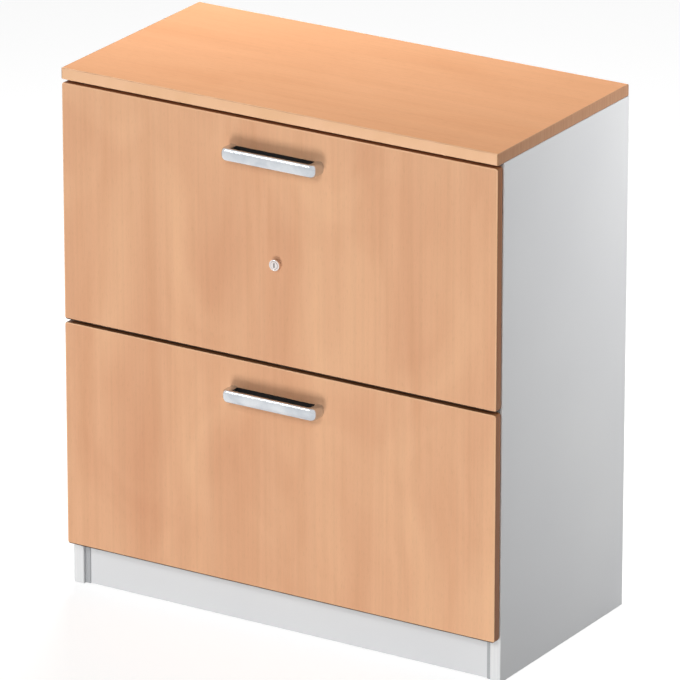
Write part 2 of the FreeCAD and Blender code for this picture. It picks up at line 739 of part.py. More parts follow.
def middle_member(front_z):
    web = (MIDDLE_WEB_U, MIDDLE_WEB_U + RUNNER_SHEET)
    lip = (MIDDLE_END_U - RUNNER_SHEET, MIDDLE_END_U)
    return channel(web, (MIDDLE_WEB_U, MIDDLE_END_U), lip, MIDDLE_FLANGE_V, 1, front_z)


def drawer_member(front_z, holes):
    web = (DRAWER_WEB_U, RUNNER_THICKNESS)
    lip = (DRAWER_LIP_U, DRAWER_LIP_U + RUNNER_SHEET)
    return channel(web, (DRAWER_LIP_U, RUNNER_THICKNESS), lip, DRAWER_FLANGE_V, 1, front_z).cut(holes)


def cage_span():
    """A cage's front end and length, so that it stays where two channels overlap when fully out."""
    overlap = RUNNER_LENGTH - RUNNER_TRAVEL / 2
    middle = RUNNER_Y + overlap / 2 + RUNNER_TRAVEL / 4
    length = overlap - 2 * CAGE_END_MARGIN
    return middle - length / 2, length


def ball_cage(web_at, lip_end, ball_u, ball_v, front_z):
    """A sheet cage with two rows of balls, one above and one below."""
    start, length = cage_span()
    half_lip = CAGE_LIP_SHEET / 2
    reach = ball_v + half_lip
    strips = [runner_strip(web_at, web_at + CAGE_SHEET, -reach, reach, front_z, start, length)]
    for side in (1, -1):
        v = side * ball_v
        strips.append(runner_strip(web_at, lip_end, v - half_lip, v + half_lip, front_z, start, length))
    balls = []
    pockets = []
    for side in (1, -1):
        for k in range(BALLS_IN_ROW):
            y = start + length * (k + 0.5) / BALLS_IN_ROW
            centre = vec(INNER_HALF - ball_u, y, runner_z(front_z) + side * ball_v)
            balls.append(Part.makeSphere(BALL_RADIUS, centre))
            pockets.append(Part.makeSphere(BALL_RADIUS + BALL_POCKET_PLAY, centre))
    return [union(strips).cut(pockets)] + balls


def outer_ball_cages(front_z):
    lip_end = CABINET_END_U - RUNNER_SHEET - CAGE_PLAY
    ball_u = (MIDDLE_WEB_U + lip_end) / 2
    pieces = ball_cage(OUTER_CAGE_U, lip_end, ball_u, OUTER_BALL_V, front_z)
    return group(pieces + [mirrored(p) for p in pieces])


def inner_ball_cages(front_z):
    lip_end = MIDDLE_END_U - CAGE_PLAY
    ball_u = (DRAWER_LIP_U + RUNNER_SHEET + DRAWER_WEB_U) / 2
    pieces = ball_cage(INNER_CAGE_U, lip_end, ball_u, INNER_BALL_V, front_z)
    return group(pieces + [mirrored(p) for p in pieces])


# Fronts and handles


def handle_z(front_top):
    return front_top - HANDLE_DROP


def front_limits():
    half = HALF_WIDTH - FRONT_SIDE_INSET
    return -half, half


def handle_screws(front_top, ease):
    """Two screws from behind the front into the handle's legs."""
    length = FRONT_BOARD + HANDLE_THREAD_DEPTH
    places = [vec(side * HANDLE_HOLE_SPACING / 2, FRONT_REAR_Y, handle_z(front_top)) for side in (1, -1)]
    return [screw(place, -Y_AXIS, length, ease) for place in places]


def rounded_plate(x0, x1, z0, z1, radius):
    """A front-sized plate with rounded corners, as thick as a front."""
    plate = block(x0, x1, FRONT_FACE_Y, FRONT_REAR_Y, z0, z1)
    return plate.makeFillet(radius, long_edges(plate, Y_AXIS, lambda p: True))


def front_core(z0, z1):
    x0, x1 = front_limits()
    inner_radius = FRONT_CORNER_RADIUS - EDGE_BAND
    return rounded_plate(x0 + EDGE_BAND, x1 - EDGE_BAND, z0 + EDGE_BAND, z1 - EDGE_BAND, inner_radius)


def front_edge_band(z0, z1):
    """The ring round a front, with its edges rounded on the face side."""
    x0, x1 = front_limits()
    outer = rounded_plate(x0, x1, z0, z1, FRONT_CORNER_RADIUS)
    rims = [e for e in outer.Edges if e.BoundBox.YMax < FRONT_FACE_Y + CUT_OVERRUN / 2]
    outer = outer.makeFillet(EDGE_ROUNDING, rims)
    return outer.cut(front_core(z0, z1))


def lock_hole():
    radius = LOCK_BODY_RADIUS + LOCK_HOLE_PLAY
    start = vec(0, FRONT_FACE_Y - CUT_OVERRUN, LOCK_Z)
    return pin(start, Y_AXIS, FRONT_BOARD + 2 * CUT_OVERRUN, radius)


def handle(front_top):
    """A bow: a bar with a leg at each end, rounded where they turn, with threaded holes in the legs."""
    z = handle_z(front_top)
    half = (HANDLE_HOLE_SPACING + HANDLE_LEG_WIDTH) / 2
    y0 = FRONT_FACE_Y - HANDLE_PROJECTION
    low, high = z - HANDLE_BAR_HEIGHT / 2, z + HANDLE_BAR_HEIGHT / 2
    outer = block(-half, half, y0, FRONT_FACE_Y, low, high)
    outer = outer.makeFillet(
        HANDLE_OUTER_RADIUS, long_edges(outer, Z_AXIS, lambda p: p.y < FRONT_FACE_Y - HANDLE_PROJECTION / 2)
    )
    inner = half - HANDLE_LEG_WIDTH
    gap = block(
        -inner,
        inner,
        y0 + HANDLE_BAR_THICKNESS,
        FRONT_FACE_Y + CUT_OVERRUN,
        low - CUT_OVERRUN,
        high + CUT_OVERRUN,
    )
    gap = gap.makeFillet(
        HANDLE_INNER_RADIUS, long_edges(gap, Z_AXIS, lambda p: p.y < FRONT_FACE_Y - HANDLE_PROJECTION / 2)
    )
    bow = outer.cut(gap)
    level = [e for e in bow.Edges if e.BoundBox.ZLength < CUT_OVERRUN / 2]
    rims = [e for e in level if e.BoundBox.YMin < FRONT_FACE_Y - CUT_OVERRUN]
    bow = bow.makeFillet(HANDLE_BAR_THICKNESS * HANDLE_ROUNDING_SHARE, rims)
    return bow.cut(handle_screws(front_top, FASTENER_EASE))


def handle_back_plate(front_top):
    """The dark strip on the front, between the handle's legs."""
    z = handle_z(front_top)
    reach = (HANDLE_HOLE_SPACING - HANDLE_LEG_WIDTH) / 2 - BACK_PLATE_PLAY
    rise = HANDLE_BAR_HEIGHT / 2 - BACK_PLATE_MARGIN
    plate = block(-reach, reach, FRONT_FACE_Y - BACK_PLATE_THICKNESS, FRONT_FACE_Y, z - rise, z + rise)
    face = FRONT_FACE_Y - BACK_PLATE_THICKNESS / 2
    return plate.makeFillet(BACK_PLATE_ROUNDING, long_edges(plate, X_AXIS, lambda p: p.y < face))


# Drawer boxes


def lip_z(front_z):
    """The flange that the file lip stands on."""
    return box_z(front_z) + BOX_HEIGHT - FILE_LIP_HEIGHT


def box_side(front_z, holes):
    """The right-hand side: a web, an inward foot flange, and an upstanding lip that files hang on."""
    z0 = box_z(front_z)
    y0, y1 = FRONT_REAR_Y, BOX_END_Y
    lip_x = BOX_HALF - FILE_LIP_INSET
    web = block(BOX_HALF - BOX_SHEET, BOX_HALF, y0, y1, z0, lip_z(front_z))
    foot_flange = block(BOX_HALF - BOX_FOOT_FLANGE, BOX_HALF, y0, y1, z0, z0 + BOX_SHEET)
    shelf_z = lip_z(front_z) - BOX_SHEET
    shelf = block(lip_x, BOX_HALF, y0, y1, shelf_z, lip_z(front_z))
    lip = block(lip_x, lip_x + BOX_SHEET, y0, y1, shelf_z, lip_z(front_z) + FILE_LIP_HEIGHT)
    return union([web, foot_flange, shelf, lip]).cut(holes)


def box_bottom(front_z, notch):
    """A sheet on the sides' foot flanges; the upper one is notched for the lock rod."""
    z0 = box_z(front_z) + BOX_SHEET
    reach = BOX_HALF - BOX_SHEET - BOX_PLAY
    sheet = block(-reach, reach, FRONT_REAR_Y, BOX_END_Y - BOX_SHEET, z0, z0 + BOX_BOTTOM_SHEET)
    if not notch:
        return sheet
    margin = GUIDE_PLAY + GUIDE_WALL + BOTTOM_NOTCH_GAP
    return sheet.cut(
        block(
            ROD_X - margin,
            ROD_X + ROD_WIDTH + margin,
            FRONT_REAR_Y - CUT_OVERRUN,
            ROD_Y + ROD_THICKNESS + margin,
            z0 - CUT_OVERRUN,
            z0 + BOX_BOTTOM_SHEET + CUT_OVERRUN,
        )
    )


def box_back(front_z, holes):
    """The back sheet, with a flange folded forward against each side."""
    z0 = box_z(front_z) + BOX_SHEET + BOX_BOTTOM_SHEET
    z1 = lip_z(front_z) - BOX_SHEET
    reach = BOX_HALF - BOX_SHEET
    y1 = BOX_END_Y
    sheet = block(-reach, reach, y1 - BOX_SHEET, y1, z0, z1)
    flange = block(reach - BOX_SHEET, reach, y1 - BOX_BACK_FLANGE, y1, z0, z1)
    return union([sheet, flange, mirrored(flange)]).cut(holes)


def middle_file_rail(front_z, holes):
    """A wide channel along the middle; its two upstanding lips carry the inner ends of the files."""
    half = MIDDLE_RAIL_WIDTH / 2
    y0, y1 = FRONT_REAR_Y, BOX_END_Y - BOX_SHEET
    base_z = lip_z(front_z) - BOX_SHEET
    base = block(-half, half, y0, y1, base_z, base_z + BOX_SHEET)
    lip = block(half - BOX_SHEET, half, y0, y1, base_z, lip_z(front_z) + FILE_LIP_HEIGHT)
    ends = [
        block(-half, half, start, start + BOX_SHEET, base_z - MIDDLE_RAIL_END_FLANGE, base_z + BOX_SHEET)
        for start in (y0, y1 - BOX_SHEET)
    ]
    return union([base, lip, mirrored(lip)] + ends).cut(holes)


def front_bracket(front_z, holes):
    """An angle that ties the right-hand box side to the back of the front."""
    z0 = box_z(front_z) + BRACKET_RISE
    x1 = BOX_HALF - BOX_SHEET
    y0 = FRONT_REAR_Y
    on_front = block(x1 - BRACKET_WIDTH, x1, y0, y0 + BRACKET_SHEET, z0, z0 + BRACKET_HEIGHT)
    on_side = block(x1 - BRACKET_SHEET, x1, y0, y0 + BRACKET_REACH, z0, z0 + BRACKET_HEIGHT)
    return union([on_front, on_side]).cut(holes)


def drawer_screws(front_z, front_top, ease):
    """Screws of the handle, the brackets, the middle rail and the runners' drawer members."""
    found = []
    bracket_z = box_z(front_z) + BRACKET_RISE
    bracket_x = BOX_HALF - BOX_SHEET - (BRACKET_WIDTH + BRACKET_SHEET) / 2
    wood = FRONT_BOARD * SCREW_IN_BOARD_SHARE
    for s in BRACKET_SCREW_SHARES:
        z = bracket_z + BRACKET_HEIGHT * s
        face = vec(bracket_x, FRONT_REAR_Y + BRACKET_SHEET, z)
        found.append(screw(face, -Y_AXIS, BRACKET_SHEET + wood, ease))
        y = FRONT_REAR_Y + BRACKET_REACH / 2 + BRACKET_SHEET
        face = vec(BOX_HALF - BOX_SHEET - BRACKET_SHEET, y, z)
        found.append(screw(face, X_AXIS, SHEET_SCREW_LENGTH, ease))
    rail_z = lip_z(front_z) - BOX_SHEET - MIDDLE_RAIL_END_FLANGE / 2
    rail_x = MIDDLE_RAIL_WIDTH / 4
    found.append(screw(vec(rail_x, FRONT_REAR_Y + BOX_SHEET, rail_z), -Y_AXIS, BOX_SHEET + wood, ease))
    rear = vec(rail_x, BOX_END_Y - 2 * BOX_SHEET, rail_z)
    found.append(screw(rear, Y_AXIS, SHEET_SCREW_LENGTH, ease))
    for s in RUNNER_SCREW_SHARES:
        face = vec(BOX_HALF + RUNNER_SHEET, runner_y(s), runner_z(front_z))
        length = RUNNER_SHEET + BOX_SHEET
        found.append(flush_screw(face, -X_AXIS, RUNNER_SHEET, length, ease))
    return handle_screws(front_top, ease) + found + [mirrored(s) for s in found]


# Lock


def lock_housing():
    """A round nose on the front, a threaded body through the board, bored for the plug."""
    nose_y = FRONT_FACE_Y - LOCK_NOSE_PROJECTION
    nose = pin(vec(0, nose_y, LOCK_Z), Y_AXIS, LOCK_NOSE_PROJECTION, LOCK_NOSE_RADIUS)
    rim = [e for e in nose.Edges if e.BoundBox.YMax < nose_y + LOCK_NOSE_ROUNDING / 2]
    nose = nose.makeFillet(LOCK_NOSE_ROUNDING, rim)
    body = pin(vec(0, FRONT_FACE_Y, LOCK_Z), Y_AXIS, LOCK_BODY_END_Y - FRONT_FACE_Y, LOCK_BODY_RADIUS)
    length = LOCK_BODY_END_Y - nose_y + 2 * CUT_OVERRUN
    bore = pin(vec(0, nose_y - CUT_OVERRUN, LOCK_Z), Y_AXIS, length, PLUG_RADIUS + PLUG_PLAY)
    return union([nose, body]).cut(bore)


def lock_nut():
    """A hexagon nut that clamps the housing from behind the front."""
    corner_radius = LOCK_NUT_FLATS / 2 / math.cos(math.radians(30))
    corners = [
        vec(
            corner_radius * math.cos(math.radians(60 * k)),
            FRONT_REAR_Y,
            LOCK_Z + corner_radius * math.sin(math.radians(60 * k)),
        )
        for k in range(6)
    ]
    hexagon = prism(corners, Y_AXIS * LOCK_NUT_THICKNESS)
    start = vec(0, FRONT_REAR_Y - CUT_OVERRUN, LOCK_Z)
    length = LOCK_NUT_THICKNESS + 2 * CUT_OVERRUN
    return hexagon.cut(pin(start, Y_AXIS, length, LOCK_BODY_RADIUS + FASTENER_EASE))


def lock_plug():
    """The part that a key turns: a barrel with a keyway, and a square tail that drives the pinion."""
    face_y = FRONT_FACE_Y - LOCK_NOSE_PROJECTION + PLUG_FACE_RECESS
    barrel = pin(vec(0, face_y, LOCK_Z), Y_AXIS, PINION_Y - face_y, PLUG_RADIUS)
    half = PINION_SQUARE / 2
    tail = block(
        -half, half, PINION_Y, PINION_Y + PINION_THICKNESS + PLUG_TAIL, LOCK_Z - half, LOCK_Z + half
    )
    keyway = block(
        -KEYWAY_WIDTH / 2,
        KEYWAY_WIDTH / 2,
        face_y - CUT_OVERRUN,
        face_y + KEYWAY_DEPTH,
        LOCK_Z - KEYWAY_LENGTH / 2,
        LOCK_Z + KEYWAY_LENGTH / 2,
    )
    return union([barrel, tail]).cut(keyway)


def involute(angle):
    return math.tan(angle) - angle


def pinion_outline():
    """Involute teeth, with a gap facing the rod. Each flank is sampled from the base circle to the tip."""
    pressure = math.radians(PRESSURE_ANGLE)
    base = PITCH_RADIUS * math.cos(pressure)
    tip = PITCH_RADIUS + GEAR_MODULE * ADDENDUM_SHARE
    root = PITCH_RADIUS - GEAR_MODULE * DEDENDUM_SHARE
    half_tooth = math.pi / (2 * PINION_TOOTH_COUNT) - BACKLASH / (2 * PITCH_RADIUS)
    outline = []
    for tooth in range(PINION_TOOTH_COUNT):
        middle = 2 * math.pi * (tooth + 0.5) / PINION_TOOTH_COUNT
        radii = [base + (tip - base) * k / (PINION_FLANK_COUNT - 1) for k in range(PINION_FLANK_COUNT)]
        halves = [half_tooth + involute(pressure) - involute(math.acos(base / r)) for r in radii]
        flank = [(root, halves[0])] + list(zip(radii, halves))
        rising = [(r, middle - half) for r, half in flank]
        falling = [(r, middle + half) for r, half in reversed(flank)]
        outline += rising + falling
    return [vec(r * math.cos(a), PINION_Y, LOCK_Z + r * math.sin(a)) for r, a in outline]


def lock_pinion():
    """The toothed wheel on the plug's square tail, which drives the rod."""
    wheel = prism(pinion_outline(), Y_AXIS * PINION_THICKNESS)
    half = PINION_SQUARE / 2 + PINION_SQUARE_PLAY
    square = block(
        -half,
        half,
        PINION_Y - CUT_OVERRUN,
        PINION_Y + PINION_THICKNESS + CUT_OVERRUN,
        LOCK_Z - half,
        LOCK_Z + half,
    )
    return wheel.cut(square)


def lock_rod():
    """A flat rod behind the upper front: a rack at its top meshes with the pinion, its foot drops."""
    top = LOCK_Z + RACK_ABOVE + ROD_TOP_MARGIN
    bar = block(ROD_X, ROD_X + ROD_WIDTH, ROD_Y, ROD_Y + ROD_THICKNESS, ROD_TIP_Z, top)
    pitch = math.pi * GEAR_MODULE
    slope = math.tan(math.radians(PRESSURE_ANGLE))
    tip_x = PITCH_RADIUS - GEAR_MODULE * ADDENDUM_SHARE
    half_pitch_line = (pitch / 2 - BACKLASH) / 2
    half_root = half_pitch_line + (ROD_X - PITCH_RADIUS) * slope
    half_tip = half_pitch_line - (PITCH_RADIUS - tip_x) * slope
    teeth = []
    for k in range(-int(RACK_BELOW / pitch), int(RACK_ABOVE / pitch) + 1):
        z = LOCK_Z + k * pitch
        outline = [
            vec(ROD_X, ROD_Y, z - half_root),
            vec(tip_x, ROD_Y, z - half_tip),
            vec(tip_x, ROD_Y, z + half_tip),
            vec(ROD_X, ROD_Y, z + half_root),
        ]
        teeth.append(prism(outline, Y_AXIS * ROD_THICKNESS))
    return union([bar] + teeth)


def rod_guide(z):
    """A saddle on the back of the front, through which the rod slides."""
    saddle = block(
        ROD_X - GUIDE_WALL - GUIDE_PLAY,
        ROD_X + ROD_WIDTH + GUIDE_WALL + GUIDE_PLAY,
        FRONT_REAR_Y,
        ROD_Y + ROD_THICKNESS + GUIDE_PLAY + GUIDE_WALL,
        z - GUIDE_HEIGHT / 2,
        z + GUIDE_HEIGHT / 2,
    )
    way = block(
        ROD_X - GUIDE_PLAY,
        ROD_X + ROD_WIDTH + GUIDE_PLAY,
        ROD_Y - GUIDE_PLAY,
        ROD_Y + ROD_THICKNESS + GUIDE_PLAY,
        z - GUIDE_HEIGHT,
        z + GUIDE_HEIGHT,
    )
    return saddle.cut(way)


def rod_guides():
    """One near the rod's foot, and one just under the rack at the end of its travel."""
    high_z = LOCK_Z - RACK_BELOW - ROD_TRAVEL - HIGH_GUIDE_GAP - GUIDE_HEIGHT / 2
    return group([rod_guide(ROD_TIP_Z + LOW_GUIDE_RISE), rod_guide(high_z)])


def catch_screw_z():
    """The catch's screws clear the underside of the mid rail."""
    return MID_RAIL_Z - CATCH_SCREW_GAP - SCREW_HEAD_RADIUS


def catch_screws(ease):
    middle = ROD_X + ROD_WIDTH / 2
    length = CATCH_SHEET + FRONT_BOARD * SCREW_IN_BOARD_SHARE
    y = FRONT_REAR_Y + CATCH_SHEET
    places = [vec(middle + side * CATCH_WIDTH / 4, y, catch_screw_z()) for side in (1, -1)]
    return [screw(place, -Y_AXIS, length, ease) for place in places]


def lock_catch():
    """An angle on the back of the lower front; the dropped rod stands in its slot."""
    middle = ROD_X + ROD_WIDTH / 2
    x0, x1 = middle - CATCH_WIDTH / 2, middle + CATCH_WIDTH / 2
    top = LOWER_FRONT_TOP + CATCH_RISE
    low = catch_screw_z() - CATCH_WIDTH / 4
    leg = block(x0, x1, FRONT_REAR_Y, FRONT_REAR_Y + CATCH_SHEET, low, top)
    shelf_end = ROD_Y + ROD_THICKNESS + ROD_SLOT_PLAY + CATCH_MARGIN
    shelf = block(x0, x1, FRONT_REAR_Y, shelf_end, top - CATCH_SHEET, top)
    slot = rod_slot(top - CATCH_SHEET - CUT_OVERRUN, top + CUT_OVERRUN)
    return union([leg, shelf]).cut([slot] + catch_screws(FASTENER_EASE))


# Assembly: every node by name


def carcass_nodes():
    holes = carcass_holes()
    right_side = side_panel(holes)
    nodes = {
        "right_side_panel": right_side,
        "left_side_panel": mirrored(right_side),
        "side_edge_bands": both_sides(side_edge_band()),
        "top_panel": top_panel(holes),
        "top_edge_band": top_edge_band(),
        "bottom_panel": bottom_panel(holes),
        "back_panel": back_panel(holes),
        "plinth_board": plinth_board(holes),
        "rear_plinth_rail": rear_plinth_rail(holes),
        "front_top_rail": front_top_rail(holes),
        "mid_rail": mid_rail(holes),
        "cam_fittings": group(top_cams(0) + bottom_cams(0)),
        "connector_bolts": group(connector_bolts(0)),
        "dowels": group(dowels(0)),
        "carcass_screws": group(carcass_screws(0)),
        "front_bumpers": front_bumpers(),
        "leveller_housings": group([leveller_housing(x, y) for x, y in foot_places().values()]),
    }
    for name, (x, y) in foot_places().items():
        nodes[name] = foot(x, y)
    for drawer, front_z in (("lower", LOWER_FRONT_Z), ("upper", UPPER_FRONT_Z)):
        nodes[drawer + "_runner_cabinet_members"] = both_sides(cabinet_member(front_z, holes))
    return nodes


def drawer_nodes(drawer, front_z, front_top):
    holes = group(drawer_screws(front_z, front_top, FASTENER_EASE))
    core_cuts = [holes]
    if drawer == "upper":
        core_cuts.append(lock_hole())
    else:
        core_cuts += catch_screws(FASTENER_EASE)
    screws = drawer_screws(front_z, front_top, 0)
    if drawer == "lower":
        screws += catch_screws(0)
    right_side = box_side(front_z, holes)
    made = {
        "front": front_core(front_z, front_top).cut(core_cuts),
        "front_edge_band": front_edge_band(front_z, front_top),
        "handle": handle(front_top),
        "handle_back_plate": handle_back_plate(front_top),
        "drawer_right_side": right_side,
        "drawer_left_side": mirrored(right_side),
        "drawer_back": box_back(front_z, holes),
        "drawer_bottom": box_bottom(front_z, drawer == "upper"),
        "middle_file_rail": middle_file_rail(front_z, holes),
        "front_brackets": both_sides(front_bracket(front_z, holes)),
        "drawer_screws": group(screws),
        "runner_drawer_members": both_sides(drawer_member(front_z, holes)),
        "runner_middle_members": both_sides(middle_member(front_z)),
        "outer_ball_cages": outer_ball_cages(front_z),
        "inner_ball_cages": inner_ball_cages(front_z),
    }
    return {drawer + "_" + name: shape for name, shape in made.items()}


def lock_nodes():
    return {
        "lock_housing": lock_housing(),
        "lock_nut": lock_nut(),
        "lock_plug": lock_plug(),
        "lock_pinion": lock_pinion(),
        "lock_rod": lock_rod(),
        "rod_guides": rod_guides(),
        "lock_catch": lock_catch(),
    }


def main():
    nodes = carcass_nodes()
    nodes.update(drawer_nodes("lower", LOWER_FRONT_Z, LOWER_FRONT_TOP))
    nodes.update(drawer_nodes("upper", UPPER_FRONT_Z, UPPER_FRONT_TOP))
    nodes.update(lock_nodes())
    os.makedirs("parts", exist_ok=True)
    for name, shape in nodes.items():
        shape.exportStep("parts/" + name + ".step")
        print(name, len(shape.Solids), "solid(s)", round(shape.Volume), "mm3")
    print(len(nodes), "nodes; the lock rod travels", round(ROD_TRAVEL, 3), "mm")


main()
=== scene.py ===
"""A two-drawer filing cabinet in beech and light grey, dressed around its CAD frame.

In order: the camera, the materials, the finish of each CAD node, the pieces that are made here, and
the floor and lamps. All is in metres, +Z up, and the fronts face -Y. Places come from the frame's own
boxes, and sizes given in millimetres are multiplied by MM.
"""

import math

import bmesh
import bpy
import numpy as np
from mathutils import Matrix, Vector


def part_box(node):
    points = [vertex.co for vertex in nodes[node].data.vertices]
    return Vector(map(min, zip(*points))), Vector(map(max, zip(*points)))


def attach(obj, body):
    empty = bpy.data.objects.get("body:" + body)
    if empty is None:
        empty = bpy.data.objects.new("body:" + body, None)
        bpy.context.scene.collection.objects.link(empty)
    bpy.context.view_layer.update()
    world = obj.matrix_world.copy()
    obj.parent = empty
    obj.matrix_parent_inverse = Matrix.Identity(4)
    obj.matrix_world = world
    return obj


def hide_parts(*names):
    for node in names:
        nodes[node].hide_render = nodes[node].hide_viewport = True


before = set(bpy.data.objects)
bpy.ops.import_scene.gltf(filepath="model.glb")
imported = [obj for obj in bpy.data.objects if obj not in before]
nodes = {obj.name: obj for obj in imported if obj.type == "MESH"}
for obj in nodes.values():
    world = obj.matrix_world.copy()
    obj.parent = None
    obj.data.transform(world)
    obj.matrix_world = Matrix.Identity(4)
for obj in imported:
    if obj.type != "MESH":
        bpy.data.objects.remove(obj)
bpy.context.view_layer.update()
MM = 0.001

# Camera: the viewpoint that fits the corners of the photographed cabinet
CAMERA_LENS = 396.734
CAMERA_SENSOR = 36.0
CAMERA_CLIP_END = 100.0
CAMERA_TURN = math.radians(31.871)
CAMERA_RISE = math.radians(20.350)
CAMERA_DISTANCE = 11.90813
CAMERA_AIM = Vector((-0.011366, 0.02004, 0.434111))


def direction(turn, rise):
    """The unit vector towards a place turned from straight ahead to +X, and raised."""
    level = math.cos(rise)
    return Vector((math.sin(turn) * level, -math.cos(turn) * level, math.sin(rise)))


def aimed(name, data, aim, towards, distance):
    """A camera or lamp that looks at a point from a distance."""
    thing = bpy.data.objects.new(name, data)
    bpy.context.scene.collection.objects.link(thing)
    thing.location = aim + towards * distance
    thing.rotation_euler = (-towards).to_track_quat("-Z", "Y").to_euler()
    return thing


camera_data = bpy.data.cameras.new("camera")
camera_data.lens = CAMERA_LENS
camera_data.sensor_width = CAMERA_SENSOR
camera_data.clip_end = CAMERA_CLIP_END
bpy.context.scene.camera = aimed(
    "camera", camera_data, CAMERA_AIM, direction(CAMERA_TURN, CAMERA_RISE), CAMERA_DISTANCE
)
bpy.context.scene.view_settings.view_transform = "Standard"


# Materials
def linear(code):
    """A hex sRGB colour as linear red, green, blue and alpha."""
    parts = [int(code[i : i + 2], 16) / 255 for i in (0, 2, 4)]
    return tuple(c / 12.92 if c <= 0.04045 else ((c + 0.055) / 1.055) ** 2.4 for c in parts) + (1.0,)


def grey(value):
    """A linear grey with alpha."""
    return (value, value, value, 1.0)


def add(tree, kind, links=None, stops=None, **settings):
    """Adds a node: its settings, a ramp's stops, and each socket's value or the output linked to it.

    Sockets are named where their names differ, and else numbered: Math takes 0 and 1; Mix takes 0, the
    share of the second colour, with 6 and 7, the colours, and gives 2; Map Range takes 1 and 2, the
    range that comes in (0 to 1 if left out), and 3 and 4, the range that goes out.
    """
    node = tree.nodes.new("ShaderNode" + kind)
    for name, value in settings.items():
        setattr(node, name, value)
    if stops:
        ramp = node.color_ramp
        while len(ramp.elements) < len(stops):
            ramp.elements.new(1.0)
        for element, (place, colour) in zip(ramp.elements, stops):
            element.position = place
            element.color = colour
    for socket, value in (links or {}).items():
        if isinstance(value, bpy.types.NodeSocket):
            tree.links.new(value, node.inputs[socket])
        else:
            node.inputs[socket].default_value = value
    return node.outputs


def blotches(tree, size, detail=2.0, distortion=0.0, shift=0.0):
    """Cloudy noise from 0 to 1, whose patches measure size = (x, y, z) millimetres on the piece.

    shift is how many patches along all three axes the pattern is moved.
    """
    place = add(tree, "TexCoord")["Object"]
    scale = tuple(1.0 / (s * MM) for s in size)
    place = add(
        tree, "Mapping", {"Vector": place, "Location": (shift, shift, shift), "Scale": scale}
    )
    links = {"Vector": place["Vector"], "Scale": 1.0, "Detail": detail, "Distortion": distortion}
    return add(tree, "TexNoise", links)[0]


def new_material(name):
    """An empty material and its node tree."""
    material = bpy.data.materials.new(name)
    material.use_nodes = True
    material.node_tree.nodes.clear()
    return material, material.node_tree


def finish(tree, links):
    """The Principled shader with its sockets, wired to the material's output."""
    shader = add(tree, "BsdfPrincipled", links)["BSDF"]
    add(tree, "OutputMaterial", {"Surface": shader})


# Where on the endless figure the boards are cut, in patches
BEECH_SHIFT = 25.9
CLOUD_SHIFT = BEECH_SHIFT + 7.0


def beech_laminate(name, grain, pale, middle, deep, matt, shine):
    """Beech-decor melamine: a printed paper pressed on chipboard.

    It gives a matt warm face with soft straight bands, clouds where the cut wanders, thin darker lines
    and faint short flecks. The flecks are drawn several times as coarse as real ones, to show.
    grain is the unit axis that the figure runs along.
    """
    material, tree = new_material(name)

    def sizes(length, width):
        return tuple(grain * length + (1.0 - grain) * width)

    bands = blotches(tree, sizes(1100, 75), detail=3.0, distortion=1.2, shift=BEECH_SHIFT)
    clouds = blotches(tree, sizes(300, 140), detail=3.0, distortion=0.9, shift=CLOUD_SHIFT)
    lines = blotches(tree, sizes(480, 5), detail=2.0, distortion=0.3, shift=3.0)
    flecks = blotches(tree, sizes(13, 1.5), detail=1.0, shift=5.0)
    tone = add(
        tree, "ValToRGB", {"Fac": bands},
        stops=[(0.26, linear(deep)), (0.5, linear(middle)), (0.76, linear(pale))],
    )["Color"]
    warm = add(
        tree, "ValToRGB", {"Fac": clouds}, stops=[(0.28, linear(pale)), (0.72, linear(deep))]
    )["Color"]
    tone = add(tree, "Mix", {0: 0.5, 6: tone, 7: warm}, data_type="RGBA")[2]
    darker = add(
        tree, "ValToRGB", {"Fac": lines}, stops=[(0.35, grey(0.97)), (0.6, grey(1.0))]
    )["Color"]
    tone = add(
        tree, "Mix", {0: 1.0, 6: tone, 7: darker}, data_type="RGBA", blend_type="MULTIPLY"
    )[2]
    darker = add(
        tree, "ValToRGB", {"Fac": flecks}, stops=[(0.3, grey(0.95)), (0.42, grey(1.0))]
    )["Color"]
    tone = add(
        tree, "Mix", {0: 1.0, 6: tone, 7: darker}, data_type="RGBA", blend_type="MULTIPLY"
    )[2]
    gloss = add(tree, "MapRange", {"Value": flecks, 3: matt + 0.04, 4: matt - 0.04})["Result"]
    links = {"Strength": 0.3, "Distance": 0.06 * MM, "Height": flecks}
    relief = add(tree, "Bump", links)["Normal"]
    links = {"Base Color": tone, "Roughness": gloss, "Normal": relief}
    finish(tree, links | {"Specular IOR Level": shine})
    return material


def beech_edging(name, dark, light):
    """Beech-decor ABS edging, extruded: a little smoother than the board, with fine lengthwise lines.

    The lines are drawn 2.5 mm wide, several times as coarse as the printed ones, to show.
    """
    material, tree = new_material(name)
    lines = blotches(tree, (60, 2.5, 60))
    tone = add(
        tree, "ValToRGB", {"Fac": lines}, stops=[(0.35, linear(dark)), (0.65, linear(light))]
    )["Color"]
    links = {"Strength": 0.2, "Distance": 0.05 * MM, "Height": lines}
    relief = add(tree, "Bump", links)["Normal"]
    links = {"Base Color": tone, "Roughness": 0.45, "Normal": relief}
    finish(tree, links | {"Specular IOR Level": 0.25})
    return material


def grey_laminate():
    """Light grey melamine, pressed with a pearl plate: matt and even, with tiny round grains."""
    material, tree = new_material("light_grey_melamine")
    pearl = blotches(tree, (1.6, 1.6, 1.6))
    cloud = blotches(tree, (240, 240, 240), detail=1.0, shift=4.0)
    tone = add(
        tree, "ValToRGB", {"Fac": cloud},
        stops=[(0.3, linear("e1e2e4")), (0.7, linear("e6e7e8"))],
    )["Color"]
    links = {"Strength": 0.3, "Distance": 0.06 * MM, "Height": pearl}
    relief = add(tree, "Bump", links)["Normal"]
    finish(tree, {"Base Color": tone, "Roughness": 0.42, "Normal": relief})
    return material


